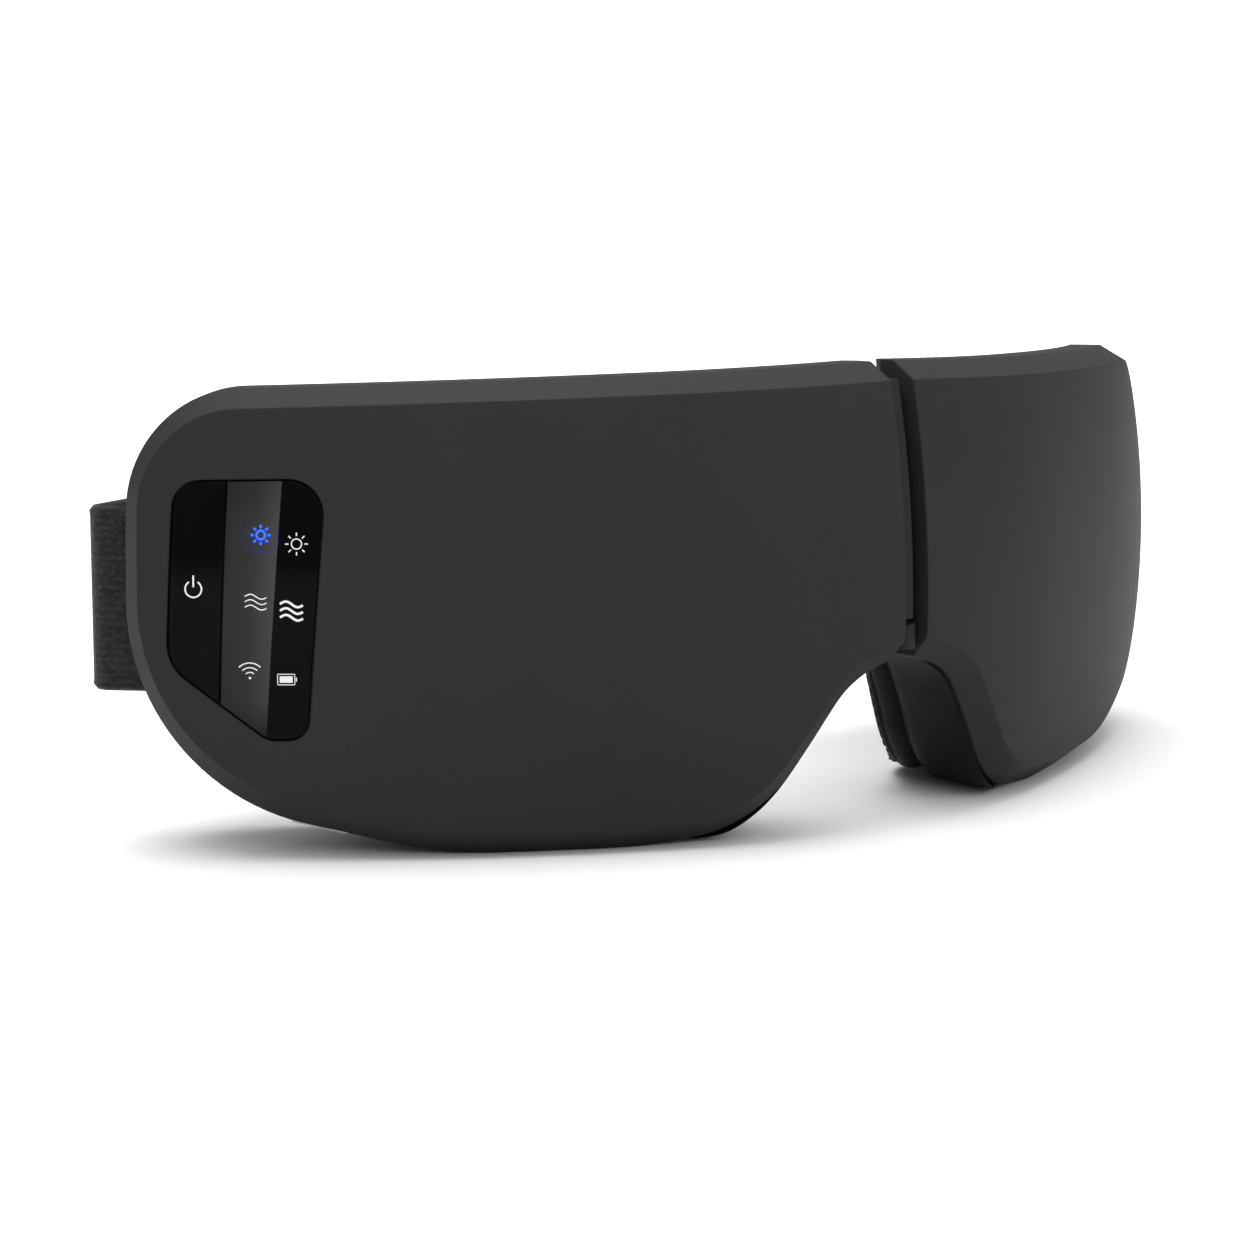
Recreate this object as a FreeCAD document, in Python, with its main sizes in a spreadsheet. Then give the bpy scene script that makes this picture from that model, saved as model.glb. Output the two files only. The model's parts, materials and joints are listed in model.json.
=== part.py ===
import FreeCAD, Part
import math
import os
import Sketcher
from BOPTools import SplitAPI
from FreeCAD import Placement, Rotation, Vector

# Foldable eye massager mask, in millimetres. +X is the viewer's right, the front faces -Y and
# +Z is up. Each half is a curved housing that stands on the flat foot of its lobe. A place on a
# half is given by s, the distance from the middle along the front, z, the height, and a depth
# behind the front surface.

doc = FreeCAD.newDocument("eye_massager_mask")
sheet = doc.addObject("Spreadsheet::Sheet", "Sizes")

SIZES = [
    # Housing plan, seen from above, and upright barrel shape
    ("nose_radius", 108.0), ("nose_length", 42.5), ("side_radius", 243.0),
    ("half_length", 133.6), ("barrel_radius", 171.0), ("barrel_height", 36.5),
    # Housing outline
    ("top_middle", 78.2), ("top_end", 74.9), ("arch_height", 29.0), ("foot_start", 52.0),
    ("foot_end", 82.0), ("foot_trim", 0.05), ("gap_half", 2.5),
    # Housing walls
    ("shell_depth", 10.0), ("shell_wall", 2.0), ("rim_width", 3.4), ("bevel_width", 2.9),
    ("foot_bevel", 4.0), ("bevel_depth", 4.3), ("arch_bevel", 3.4), ("arch_bevel_depth", 3.2),
    ("fit_gap", 0.15), ("seat_gap", 0.06),
    # Inner frame and its well
    ("frame_plate", 2.0), ("well_depth", 17.0), ("well_wall", 1.5), ("well_start", 24.0),
    ("well_end", 112.0), ("well_low", 13.0), ("well_high", 63.0),
    # Soft parts
    ("cushion_depth", 22.0), ("mask_depth", 32.0), ("pad_gap", 0.2), ("cushion_side", 1.2),
    ("cushion_top", 3.0), ("face_side", 2.6), ("face_top", 4.8), ("face_foot", 1.2),
    ("eye_start", 31.0), ("eye_end", 100.0), ("eye_low", 20.0), ("eye_high", 60.0),
    ("liner_thick", 1.2), ("film_thick", 0.4), ("bag_thick", 3.0),
    # Hinge
    ("hinge_setback", 8.4), ("pin_radius", 1.0), ("knuckle_radius", 2.1), ("knuckle_low", 37.6),
    ("knuckle_length", 6.4), ("knuckle_gap", 0.2), ("leaf_thick", 1.6), ("leaf_reach", 14.0),
    ("leaf_clear", 0.6), ("running_gap", 0.05), ("wedge_angle", 28.0), ("wedge_clear", 0.3),
    ("cover_sink", 1.3), ("cover_thick", 0.8), ("cover_reach", 0.3), ("cover_low", 35.6),
    ("cover_high", 75.2), ("cap_height", 4.2), ("cap_low", 30.4), ("cap_sink", 1.2),
    ("top_cap_low", 69.9), ("top_cap_height", 3.3), ("pin_low", 31.4), ("pin_length", 41.4),
    # Straps
    ("strap_width", 30.0), ("strap_thick", 1.8), ("strap_height", 41.0), ("pivot_reach", 5.4),
    ("fold_radius", 1.65), ("anchor_reach", 15.0), ("swing_gap", 0.2), ("clamp_width", 4.0),
    ("clamp_height", 26.0), ("clamp_thick", 1.0), ("bend_x", 97.5), ("bend_y", 82.5),
    ("bend_radius", 8.0), ("tip_x", 2.0), ("tip_y", 85.5),
    ("patch_length", 34.0), ("patch_width", 24.0), ("patch_thick", 1.0),
    # Control panel
    ("panel_groove", 0.35), ("panel_sink", 0.12), ("window_thick", 1.88), ("button_thick", 1.2),
    ("panel_near", 100.6), ("panel_far", 126.3), ("panel_top", 61.7), ("panel_low", 20.0),
    ("divider_top", 115.9), ("divider_low", 118.6), ("tray_thick", 1.4), ("tray_lap", 2.0),
    ("switch_size", 4.4), ("switch_height", 2.0), ("plunger_radius", 1.1), ("plunger_reach", 0.85),
    ("switch_clear", 0.5), ("button_s", 121.4), ("button_height", 44.0), ("board_thick", 1.0),
    ("led_board_width", 21.0), ("led_board_height", 30.0), ("main_board_width", 44.0),
    ("main_board_height", 32.0),
    ("usb_width", 9.0), ("usb_height", 3.3), ("usb_length", 7.4), ("usb_wall", 0.4),
    ("usb_s", 103.0), ("usb_depth", 6.15),
    # Fasteners
    ("screw_radius", 0.9), ("screw_length", 4.9), ("head_radius", 1.9), ("head_height", 1.1),
    ("boss_radius", 2.6), ("leaf_screw_x", 10.0), ("leaf_screw_length", 4.2),
    # Works
    ("motor_radius", 3.5), ("motor_length", 11.0), ("shaft_radius", 0.6), ("shaft_length", 5.4),
    ("weight_radius", 3.0), ("weight_length", 4.4), ("pump_radius", 5.0),
    ("pump_length", 15.0), ("head_size", 11.0), ("pump_head_height", 11.0), ("valve_radius", 2.4),
    ("valve_length", 9.0), ("hose_radius", 1.5), ("hose_bore", 0.8), ("hose_reach", 2.9),
    ("speaker_radius", 6.5), ("speaker_height", 3.2), ("magnet_radius", 4.0), ("magnet_height", 1.6),
    ("battery_width", 36.0), ("battery_height", 26.0), ("battery_thick", 6.6),
]

for row, (alias, size) in enumerate(SIZES, start=1):
    sheet.set("A%d" % row, alias)
    sheet.set("B%d" % row, str(size))
    sheet.setAlias("B%d" % row, alias)
doc.recompute()

SIZE = {alias: float(sheet.get(alias)) for alias, _ in SIZES}
MARGIN = 8.0
pieces = []


def size(alias):
    return SIZE[alias]


def keep(label, piece):
    piece.Label = label
    pieces.append(piece)
    return piece


# ---------------------------------------------------------------- places on a half

NOSE_TURN = size("nose_length") / size("nose_radius")
NOSE_CENTRE = Vector(0, size("nose_radius"), 0)
SIDE_CENTRE = NOSE_CENTRE + Vector(math.sin(NOSE_TURN), -math.cos(NOSE_TURN), 0) * (
    size("nose_radius") - size("side_radius"))
STRAP_REAR = size("tip_y") + size("strap_thick") / 2 + size("patch_thick")
ORIGIN_SHIFT = Vector(0, -STRAP_REAR / 2, 0)
HINGE = Vector(0, size("hinge_setback"), 0)


def turn(s):
    """Angle in radians that the front surface has turned through at s."""
    if s <= size("nose_length"):
        return s / size("nose_radius")
    return NOSE_TURN + (s - size("nose_length")) / size("side_radius")


def arc_of(s):
    """Centre and radius of the plan arc at s."""
    if s <= size("nose_length"):
        return NOSE_CENTRE, size("nose_radius")
    return SIDE_CENTRE, size("side_radius")


def sag(z):
    return (z - size("barrel_height")) ** 2 / (2 * size("barrel_radius"))


def wrap_point(s, depth, z):
    centre, radius = arc_of(s)
    reach = radius - depth - sag(z)
    place = centre + Vector(math.sin(turn(s)), -math.cos(turn(s)), 0) * reach
    return Vector(place.x, place.y, z)


def mirrored(shape):
    return shape.mirror(Vector(0, 0, 0), Vector(1, 0, 0))


AXIS_TURN = {
    "up": Rotation(),
    "back": Rotation(Vector(1, 0, 0), -90),
    "along": Rotation(Vector(0, 1, 0), 90),
}


def spot(side, s, z, depth, axis="up"):
    """Placement on one half: local X along the front, Y to the rear, Z up, then axis."""
    flat = wrap_point(s, depth, z)
    base = Vector(side * flat.x, flat.y, z) + ORIGIN_SHIFT
    yaw = Rotation(Vector(0, 0, 1), side * math.degrees(turn(s)))
    return Placement(base, yaw.multiply(AXIS_TURN[axis]))


# ---------------------------------------------------------------- outlines and curved plates

def outline(corners, insets):
    """Rounded outline: a list of point lists, lines and arcs in turn, in s and z.
    Each corner is (s, z, radius), counter-clockwise; insets moves each following edge inwards."""
    count = len(corners)
    if not isinstance(insets, (list, tuple)):
        insets = [insets] * count
    shifted = []
    for i in range(count):
        a = Vector(corners[i][0], corners[i][1], 0)
        b = Vector(corners[(i + 1) % count][0], corners[(i + 1) % count][1], 0)
        run = (b - a).normalize()
        shifted.append((a + Vector(-run.y, run.x, 0) * insets[i], run))
    vertices = []
    for i in range(count):
        (p, u), (q, v) = shifted[i - 1], shifted[i]
        cross = u.x * v.y - u.y * v.x
        step = ((q.x - p.x) * v.y - (q.y - p.y) * v.x) / cross
        change = (insets[i - 1] + insets[i]) / 2
        radius = corners[i][2] - change if cross > 0 else corners[i][2] + change
        vertices.append((p + u * step, u, v, max(radius, 0.3), cross > 0))
    arcs = []
    for vertex, u, v, radius, convex in vertices:
        angle = math.acos(max(-1.0, min(1.0, u.dot(v))))
        tangent = radius * math.tan(angle / 2)
        start = vertex - u * tangent
        sign = 1 if convex else -1
        centre = start + Vector(-u.y, u.x, 0) * (radius * sign)
        first = start - centre
        points = []
        for k in range(9):
            part = sign * angle * k / 8
            spun = Vector(first.x * math.cos(part) - first.y * math.sin(part),
                          first.x * math.sin(part) + first.y * math.cos(part), 0)
            points.append(centre + spun)
        arcs.append(points)
    pieces_2d = []
    for i in range(count):
        pieces_2d.append(arcs[i])
        a = arcs[i][-1]
        b = arcs[(i + 1) % count][0]
        pieces_2d.append([a + (b - a) * (k / 12.0) for k in range(13)])
    return pieces_2d


def wrapped_edges(outline_2d, depth):
    edges = []
    for points in outline_2d:
        curve = Part.BSplineCurve()
        curve.interpolate([wrap_point(p.x, depth, p.y) for p in points])
        edges.append(curve.toShape())
    return edges


def band(front_outline, front_depth, rear_outline, rear_depth):
    """Closed wall between an outline at one depth and an outline at another."""
    walls = [Part.makeRuledSurface(a, b) for a, b in zip(
        wrapped_edges(front_outline, front_depth), wrapped_edges(rear_outline, rear_depth))]
    return Part.makeShell(walls)


def slab(front, rear):
    """Curved block between two depths, wider than the mask."""
    low = -MARGIN
    high = size("top_middle") + MARGIN
    middle = (low + high) / 2
    blocks = []
    spans = [(-MARGIN, size("nose_length")), (size("nose_length"), size("half_length") + MARGIN)]
    for start, end in spans:
        centre, radius = arc_of(end)
        begin = turn(start)

        def section_point(depth, z):
            reach = radius - depth - sag(z)
            place = centre + Vector(math.sin(begin), -math.cos(begin), 0) * reach
            return Vector(place.x, place.y, z)

        front_arc = Part.Arc(*[section_point(front, z) for z in (low, middle, high)]).toShape()
        rear_arc = Part.Arc(*[section_point(rear, z) for z in (low, middle, high)]).toShape()
        foot = Part.makeLine(section_point(front, low), section_point(rear, low))
        top = Part.makeLine(section_point(front, high), section_point(rear, high))
        section = Part.Face(Part.Wire([front_arc, top, rear_arc.reversed(), foot.reversed()]))
        sweep = math.degrees(turn(end) - begin)
        blocks.append(section.revolve(centre, Vector(0, 0, 1), sweep))
    return blocks[0].fuse(blocks[1]).removeSplitter()


def piece_at(shape, tools, where):
    """The solid that holds a point, after the tools have cut the shape."""
    parts = SplitAPI.slice(shape, tools, "Split")
    for solid in parts.Solids:
        if solid.isInside(where, 1e-4, False):
            return solid
    raise ValueError("no solid at the chosen point")


def plate(corners, front, rear, insets=0.0, probe=(70.0, 40.0)):
    """Curved plate of one outline between two depths."""
    shape = outline(corners, insets)
    wall = band(shape, front - 3, shape, rear + 3)
    return piece_at(slab(front, rear), [wall], wrap_point(probe[0], (front + rear) / 2, probe[1]))


def half_cut(x_limit):
    """Block that removes what is nearer to the middle than x_limit."""
    return Part.makeBox(60 + x_limit, 200, 200, Vector(-60, -50, -50))


def floor_cut():
    """Block below the floor, which trims a foot to an exact plane."""
    return Part.makeBox(400, 400, 50, Vector(-200, -200, -50))


def wedge():
    """Block that removes what would cross the middle when the mask is folded."""
    lean = math.radians(size("wedge_angle"))
    offset = size("wedge_clear") / math.cos(lean)
    reach = 150.0
    points = [Vector(-50, HINGE.y, -50), Vector(offset, HINGE.y, -50),
              Vector(offset + reach * math.tan(lean), HINGE.y + reach, -50),
              Vector(-50, HINGE.y + reach, -50)]
    return Part.Face(Part.makePolygon(points + points[:1])).extrude(Vector(0, 0, 200))


def placed(label, shape, side=1):
    """Sub-part whose shape is worked out here from the sheet's sizes."""
    part = doc.addObject("Part::Feature", label)
    part.Shape = shape if side > 0 else mirrored(shape)
    part.Placement = Placement(ORIGIN_SHIFT, Rotation())
    return keep(label, part)


def mirror_of(label, source):
    part = doc.addObject("Part::Mirroring", label)
    part.Source = source
    part.Base = Vector(0, 0, 0)
    part.Normal = Vector(1, 0, 0)
    return keep(label, part)


# ---------------------------------------------------------------- outlines of this mask

# Corners of the housing, from the foot to the temple, over the top and down the nose arch.
NOSE_SIDE = -6.0
HOUSING = [
    (size("foot_start"), -size("foot_trim"), 60.0),
    (size("foot_end"), -size("foot_trim"), 90.0),
    (size("half_length"), 12.2, 37.0),
    (size("half_length"), size("top_end"), 19.0),
    (NOSE_SIDE, size("top_middle"), 2.0),
    (NOSE_SIDE, size("arch_height") + 2.6, 2.0),
    (11.4, size("arch_height") - 3.1, 14.0),
    (28.8, 2.1, 25.0),
]
# Edges in the same order: foot, rising foot, temple, top, middle, arch top, arch side, heel.


def housing_insets(side, top, foot, arch=None, middle=0.0):
    if arch is None:
        arch = side
    return [foot, foot, side, top, middle, arch, arch, foot]


def bevel_insets(depth):
    """Insets of the bevel's surface at a depth, which reach zero at the bevel's depth."""
    share = 1 - depth / size("bevel_depth")
    arch_share = 1 - depth / size("arch_bevel_depth")
    return housing_insets(size("bevel_width") * share, size("bevel_width") * share,
                          size("foot_bevel") * share, size("arch_bevel") * arch_share, -1.0)


WELL = [
    (40.0, size("well_low"), 14.0),
    (90.0, size("well_low"), 20.0),
    (size("well_end"), 22.0, 14.0),
    (size("well_end"), size("well_high") - 1.5, 13.0),
    (size("well_start"), size("well_high"), 9.0),
    (size("well_start"), 34.0, 9.0),
]

EYE = [
    (46.0, size("eye_low"), 13.0),
    (86.0, size("eye_low"), 16.0),
    (size("eye_end"), 28.0, 14.0),
    (size("eye_end"), size("eye_high") - 1.5, 15.0),
    (size("eye_start"), size("eye_high"), 11.0),
    (size("eye_start"), 37.0, 10.0),
]

# Control panel corners on the left half, from the lower inner one round the temple side.
PANEL = [
    (103.9, size("panel_low") + 0.2, 3.6),
    (110.4, size("panel_low"), 4.2),
    (size("panel_far"), 32.2, 7.0),
    (125.0, size("panel_top") - 0.3, 4.6),
    (size("panel_near"), size("panel_top"), 5.6),
]

FRAME_BOSSES = [(19.0, 66.5), (64.0, 68.5), (108.0, 68.4), (33.0, 10.0), (92.0, 9.4)]
HOSE_SPOT = (44.0, 52.6, 14.1)


def divider(s_shift):
    """Cutting wall along the groove between the power button and the window."""
    top = Vector(size("divider_top") + s_shift, size("panel_top") + 10, 0)
    low = Vector(size("divider_low") + s_shift, size("panel_low") - 10, 0)
    line = [[low + (top - low) * (k / 12.0) for k in range(13)]]
    wall = Part.makeRuledSurface(wrapped_edges(line, -4)[0], wrapped_edges(line, 8)[0])
    return wall


# ---------------------------------------------------------------- housings

def frame_hole(s, z, radius, depth_from, depth_to):
    """Round bar through one half along its local depth, in plan coordinates."""
    start = wrap_point(s, depth_from, z)
    run = wrap_point(s, depth_to, z) - start
    return Part.makeCylinder(radius, run.Length, start, run)


def screw_head_depth():
    """Depth of the underside of a frame screw's head, sunk in the frame."""
    return size("shell_depth") - size("head_height") - 2 * size("fit_gap")


def screw_tip_depth():
    return screw_head_depth() - size("screw_length")


def bevelled(block):
    """Housing block with its front edges cut away along the bevel. A surface that only grazes
    the block can miss it, so longer and shorter surfaces are tried in turn."""
    inside = wrap_point(70, size("shell_depth") / 2, 40)
    for front, past in ((-3.0, 1.5), (-0.5, 0.6), (-3.0, 8.7), (-1.0, 2.5)):
        rear = size("bevel_depth") + past
        flare = band(outline(HOUSING, bevel_insets(front)), front,
                     outline(HOUSING, bevel_insets(rear)), rear)
        cut = piece_at(block, [flare], inside)
        if cut.Volume < block.Volume - 1:
            return cut
    raise ValueError("the bevel missed the housing")


def shell_shape():
    """Beveled outer housing with its cavity, bosses and slots for the leaf and strap bar."""
    depth = size("shell_depth")
    body = bevelled(plate(HOUSING, 0.0, depth))
    body = body.cut(half_cut(size("gap_half"))).cut(wedge()).cut(floor_cut())
    cavity = plate(HOUSING, size("shell_wall"), depth + 2,
                   housing_insets(size("rim_width"), size("rim_width"), size("rim_width")))
    cavity = cavity.cut(half_cut(size("gap_half") + size("shell_wall")))
    body = body.cut(cavity)
    plate_start = depth - size("frame_plate")
    frame_room = slab(plate_start - size("seat_gap"), depth + 4)
    bosses = []
    holes = []
    for s, z in FRAME_BOSSES:
        boss = frame_hole(s, z, size("boss_radius"), size("shell_wall") / 2, plate_start + 1)
        bosses.append(boss.cut(frame_room))
        holes.append(frame_hole(s, z, size("screw_radius"), screw_tip_depth(), plate_start + 1))
    for z in leaf_screw_heights():
        wall = wrap_point(size("leaf_screw_x"), size("shell_wall") / 2, z)
        back = HINGE.y - size("leaf_thick") / 2
        bosses.append(Part.makeCylinder(size("boss_radius"), back - wall.y,
                                        Vector(size("leaf_screw_x"), wall.y, z), Vector(0, 1, 0)))
        holes.append(leaf_screw_shank(z))
    play = size("running_gap") * 4
    slot_low = size("knuckle_low") - play
    slot_high = knuckle_top() + play
    slot_depth = size("leaf_thick") + 2 * play
    holes.append(Part.makeBox(4, slot_depth, slot_high - slot_low,
                              Vector(size("gap_half") - 1, HINGE.y - slot_depth / 2, slot_low)))
    return body.fuse(bosses).cut(holes)


def leaf_screw_shank(z):
    rear = HINGE.y + size("leaf_thick") / 2
    return Part.makeCylinder(size("screw_radius"), size("leaf_screw_length"),
                             Vector(size("leaf_screw_x"), rear, z), Vector(0, -1, 0))


def knuckle_top():
    return size("knuckle_low") + 5 * size("knuckle_length")


def leaf_screw_heights():
    span = knuckle_top() - size("knuckle_low")
    return [size("knuckle_low") + span * share for share in (0.14, 0.86)]


def frame_shape():
    """Rear plate of a half with a well that holds the works."""
    depth = size("shell_depth")
    gap = size("rim_width") + size("fit_gap")
    flange = plate(HOUSING, depth - size("frame_plate"), depth, housing_insets(gap, gap, gap))
    flange = flange.cut(half_cut(size("leaf_reach") + 1))
    well = plate(WELL, depth - size("frame_plate"), size("well_depth"))
    hollow = plate(WELL, depth - size("frame_plate") - 1, size("well_depth") - size("well_wall"),
                   size("well_wall"))
    sink = screw_head_depth()
    holes = [hollow, frame_hole(HOSE_SPOT[0], HOSE_SPOT[1], size("hose_radius") + size("fit_gap"),
                                size("well_depth") - 4, size("well_depth") + 2)]
    for s, z in FRAME_BOSSES:
        holes.append(frame_hole(s, z, size("screw_radius") + size("fit_gap"), 4, depth + 4))
        holes.append(frame_hole(s, z, size("head_radius") + size("fit_gap"), sink, depth + 4))
    return flange.fuse(well).cut(holes)


def left_shell_shape(body):
    """Left housing: the same shell with the control panel's opening and the charging port's."""
    opening = plate(PANEL, -2.0, size("shell_wall") + 1, 0.0, probe=(112.0, 45.0))
    body = body.cut(opening)
    port = Part.makeBox(size("usb_width") + 0.3, size("usb_height") + 0.3, 14,
                        Vector(-size("usb_width") / 2 - 0.15, -size("usb_height") / 2 - 0.15, -7))
    place = port_place(1)
    port.Placement = Placement(place.Base - ORIGIN_SHIFT, place.Rotation)
    return body.cut(port)


def port_place(side):
    """Placement of the charging port: local Z points into the housing from its lower edge."""
    corner = HOUSING[2]
    rise = corner[1] / (corner[0] - size("foot_end"))
    height = (size("usb_s") - size("foot_end")) * rise
    base = spot(side, size("usb_s"), height, size("usb_depth"))
    middle = height + size("usb_length") / 2
    lean = math.atan((size("barrel_height") - middle) / size("barrel_radius"))
    lean = Rotation(Vector(1, 0, 0), math.degrees(lean))
    tilt = Rotation(Vector(0, 1, 0), -side * math.degrees(math.atan(rise)))
    return Placement(base.Base, base.Rotation.multiply(lean).multiply(tilt))


# ---------------------------------------------------------------- soft parts

def cushion_wall_shape():
    """Upholstered side wall around the well."""
    insets = housing_insets(size("cushion_side"), size("cushion_top"), 0.0)
    body = plate(HOUSING, size("shell_depth") + size("seat_gap"), size("cushion_depth"), insets)
    hole = plate(WELL, size("shell_depth") - 1, size("cushion_depth") + 1, -size("pad_gap"))
    body = body.cut(hole).cut(wedge()).cut(half_cut(size("gap_half"))).cut(anchor_notch())
    return body.cut(floor_cut())


def face_cushion_shape():
    """Ring-shaped face cushion with an opening for the eye."""
    insets = housing_insets(size("face_side"), size("face_top"), size("face_foot"))
    front = size("cushion_depth") + size("pad_gap")
    body = plate(HOUSING, front, size("mask_depth"), insets)
    hole = plate(EYE, front - 1, size("mask_depth") + 1)
    return body.cut(hole).cut(wedge())


def well_layer(front, rear, inset):
    return plate(WELL, front, rear, inset)


def add_soft_parts():
    gap = size("seat_gap")
    bag_rear = size("well_depth") + size("bag_thick")
    film_rear = bag_rear + size("film_thick")
    liner_rear = film_rear + size("liner_thick")
    layers = [
        ("cushion_wall", cushion_wall_shape()),
        ("face_cushion", face_cushion_shape()),
        ("airbag", well_layer(size("well_depth") + 4 * gap, bag_rear, 4.0)),
        ("heater_film", well_layer(bag_rear + gap, film_rear, 3.0)),
        ("eye_liner", well_layer(film_rear + gap, liner_rear, size("fit_gap"))),
    ]
    for name, shape in layers:
        right = placed("right_" + name, shape)
        mirror_of("left_" + name, right)


# ---------------------------------------------------------------- sketches and bodies

def origin_plane(body, role):
    for feature in body.Origin.OriginFeatures:
        if feature.Role == role:
            return feature
    raise ValueError(role)


def new_body(label):
    body = doc.addObject("PartDesign::Body", label)
    return keep(label, body)


def new_sketch(body, name, role="XY_Plane", lift=None):
    drawing = body.newObject("Sketcher::SketchObject", name)
    drawing.AttachmentSupport = [(origin_plane(body, role), "")]
    drawing.MapMode = "FlatFace"
    if lift:
        drawing.setExpression("AttachmentOffset.Base.z", lift)
    return drawing


def draw_circle(drawing, radius):
    index = drawing.addGeometry(Part.Circle(Vector(0, 0, 0), Vector(0, 0, 1), size_of(radius)), False)
    drawing.addConstraint(Sketcher.Constraint("Coincident", index, 3, -1, 1))
    bound = drawing.addConstraint(Sketcher.Constraint("Radius", index, size_of(radius)))
    drawing.setExpression("Constraints[%d]" % bound, radius)


def draw_rectangle(drawing, width, height):
    """Rectangle centred on the sketch's origin."""
    x = size_of(width) / 2
    y = size_of(height) / 2
    corners = [Vector(-x, -y, 0), Vector(x, -y, 0), Vector(x, y, 0), Vector(-x, y, 0)]
    for i in range(4):
        drawing.addGeometry(Part.LineSegment(corners[i], corners[(i + 1) % 4]), False)
    for i in range(4):
        drawing.addConstraint(Sketcher.Constraint("Coincident", i, 2, (i + 1) % 4, 1))
    for i, kind in enumerate(("Horizontal", "Vertical", "Horizontal", "Vertical")):
        drawing.addConstraint(Sketcher.Constraint(kind, i))
    drawing.addConstraint(Sketcher.Constraint("Symmetric", 0, 1, 1, 2, -1, 1))
    wide = drawing.addConstraint(Sketcher.Constraint("DistanceX", 0, 1, 0, 2, 2 * x))
    tall = drawing.addConstraint(Sketcher.Constraint("DistanceY", 1, 1, 1, 2, 2 * y))
    drawing.setExpression("Constraints[%d]" % wide, width)
    drawing.setExpression("Constraints[%d]" % tall, height)


def size_of(expression):
    """Value of a sheet expression such as Sizes.pin_radius or a sum of two."""
    names = {alias: value for alias, value in SIZE.items()}
    total = 0.0
    for term in expression.replace("-", "+-").split("+"):
        term = term.strip()
        if not term:
            continue
        sign = -1.0 if term.startswith("-") else 1.0
        factor = 1.0
        for word in term.lstrip("- ").split("*"):
            word = word.strip()
            factor *= names[word[6:]] if word.startswith("Sizes.") else float(word)
        total += sign * factor
    return total


def pad(body, drawing, length, name):
    feature = body.newObject("PartDesign::Pad", name)
    feature.Profile = drawing
    feature.setExpression("Length", length)
    body.Tip = feature
    return feature


def round_pad(body, radius, length, name, lift=None):
    drawing = new_sketch(body, name + "_sketch", lift=lift)
    draw_circle(drawing, radius)
    return pad(body, drawing, length, name)


def box_pad(body, width, height, length, name, lift=None):
    drawing = new_sketch(body, name + "_sketch", lift=lift)
    draw_rectangle(drawing, width, height)
    return pad(body, drawing, length, name)


def pocket(body, drawing, length, name, reverse=False):
    feature = body.newObject("PartDesign::Pocket", name)
    feature.Profile = drawing
    feature.Reversed = reverse
    feature.setExpression("Length", length)
    body.Tip = feature
    return feature


def both_sides(name, make, place):
    """A piece of the right half and its mirror image in the left half."""
    body = make("right_" + name)
    body.Placement = spot(1, *place)
    mirror_of("left_" + name, body)


# ---------------------------------------------------------------- works

MOTOR_SPOT = (58.0, 24.5, 6.9)
PUMP_SPOT = (44.0, 32.0, 9.0)
VALVE_SPOT = (52.4, 47.5, 9.0)
SPEAKER_SPOT = (92.0, 25.0, 10.4)
BATTERY_SPOT = (80.0, 46.0, 4.0)
MAIN_BOARD_SPOT = (76.0, 45.0, 4.8)
LED_BOARD_SPOT = (112.5, 41.0, 5.2)
LIGHTS = [(111.0, 52.9), (105.4, 51.5), (111.9, 42.4), (106.3, 41.0), (113.0, 31.7), (107.2, 30.1)]


def vibration_motor(label):
    body = new_body(label)
    round_pad(body, "Sizes.motor_radius", "Sizes.motor_length", label + "_can")
    doc.recompute()
    return body


def eccentric_weight(label):
    """Half-round weight on its own shaft end."""
    body = new_body(label)
    round_pad(body, "Sizes.shaft_radius", "Sizes.shaft_length", label + "_shaft")
    drawing = new_sketch(body, label + "_half", lift="Sizes.shaft_length - Sizes.weight_length")
    radius = size("weight_radius")
    arc = Part.ArcOfCircle(Part.Circle(Vector(0, 0, 0), Vector(0, 0, 1), radius), 0, math.pi)
    drawing.addGeometry(arc, False)
    drawing.addGeometry(Part.LineSegment(Vector(-radius, 0, 0), Vector(radius, 0, 0)), False)
    drawing.addConstraint(Sketcher.Constraint("Coincident", 0, 2, 1, 1))
    drawing.addConstraint(Sketcher.Constraint("Coincident", 1, 2, 0, 1))
    drawing.addConstraint(Sketcher.Constraint("Coincident", 0, 3, -1, 1))
    drawing.addConstraint(Sketcher.Constraint("Horizontal", 1))
    bound = drawing.addConstraint(Sketcher.Constraint("Radius", 0, radius))
    drawing.setExpression("Constraints[%d]" % bound, "Sizes.weight_radius")
    pad(body, drawing, "Sizes.weight_length", label + "_lobe")
    doc.recompute()
    return body


def pump_motor(label):
    body = new_body(label)
    round_pad(body, "Sizes.pump_radius", "Sizes.pump_length", label + "_can")
    doc.recompute()
    return body


def pump_head(label):
    body = new_body(label)
    box_pad(body, "Sizes.head_size", "Sizes.head_size", "Sizes.pump_head_height", label + "_block")
    doc.recompute()
    return body


def air_valve(label):
    body = new_body(label)
    round_pad(body, "Sizes.valve_radius", "Sizes.valve_length", label + "_can")
    round_pad(body, "0.45 * Sizes.valve_radius", "Sizes.hose_radius", label + "_nipple",
              lift="Sizes.valve_length")
    doc.recompute()
    return body


def speaker(label):
    body = new_body(label)
    round_pad(body, "Sizes.speaker_radius", "Sizes.speaker_height", label + "_basket")
    round_pad(body, "Sizes.magnet_radius", "Sizes.magnet_height", label + "_magnet",
              lift="Sizes.speaker_height")
    doc.recompute()
    return body


def air_hose(label):
    body = new_body(label)
    round_pad(body, "Sizes.hose_radius", "Sizes.hose_reach", label + "_tube")
    doc.recompute()
    drawing = new_sketch(body, label + "_bore_sketch")
    draw_circle(drawing, "Sizes.hose_bore")
    pocket(body, drawing, "Sizes.hose_reach", label + "_bore", reverse=True)
    doc.recompute()
    return body


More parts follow.
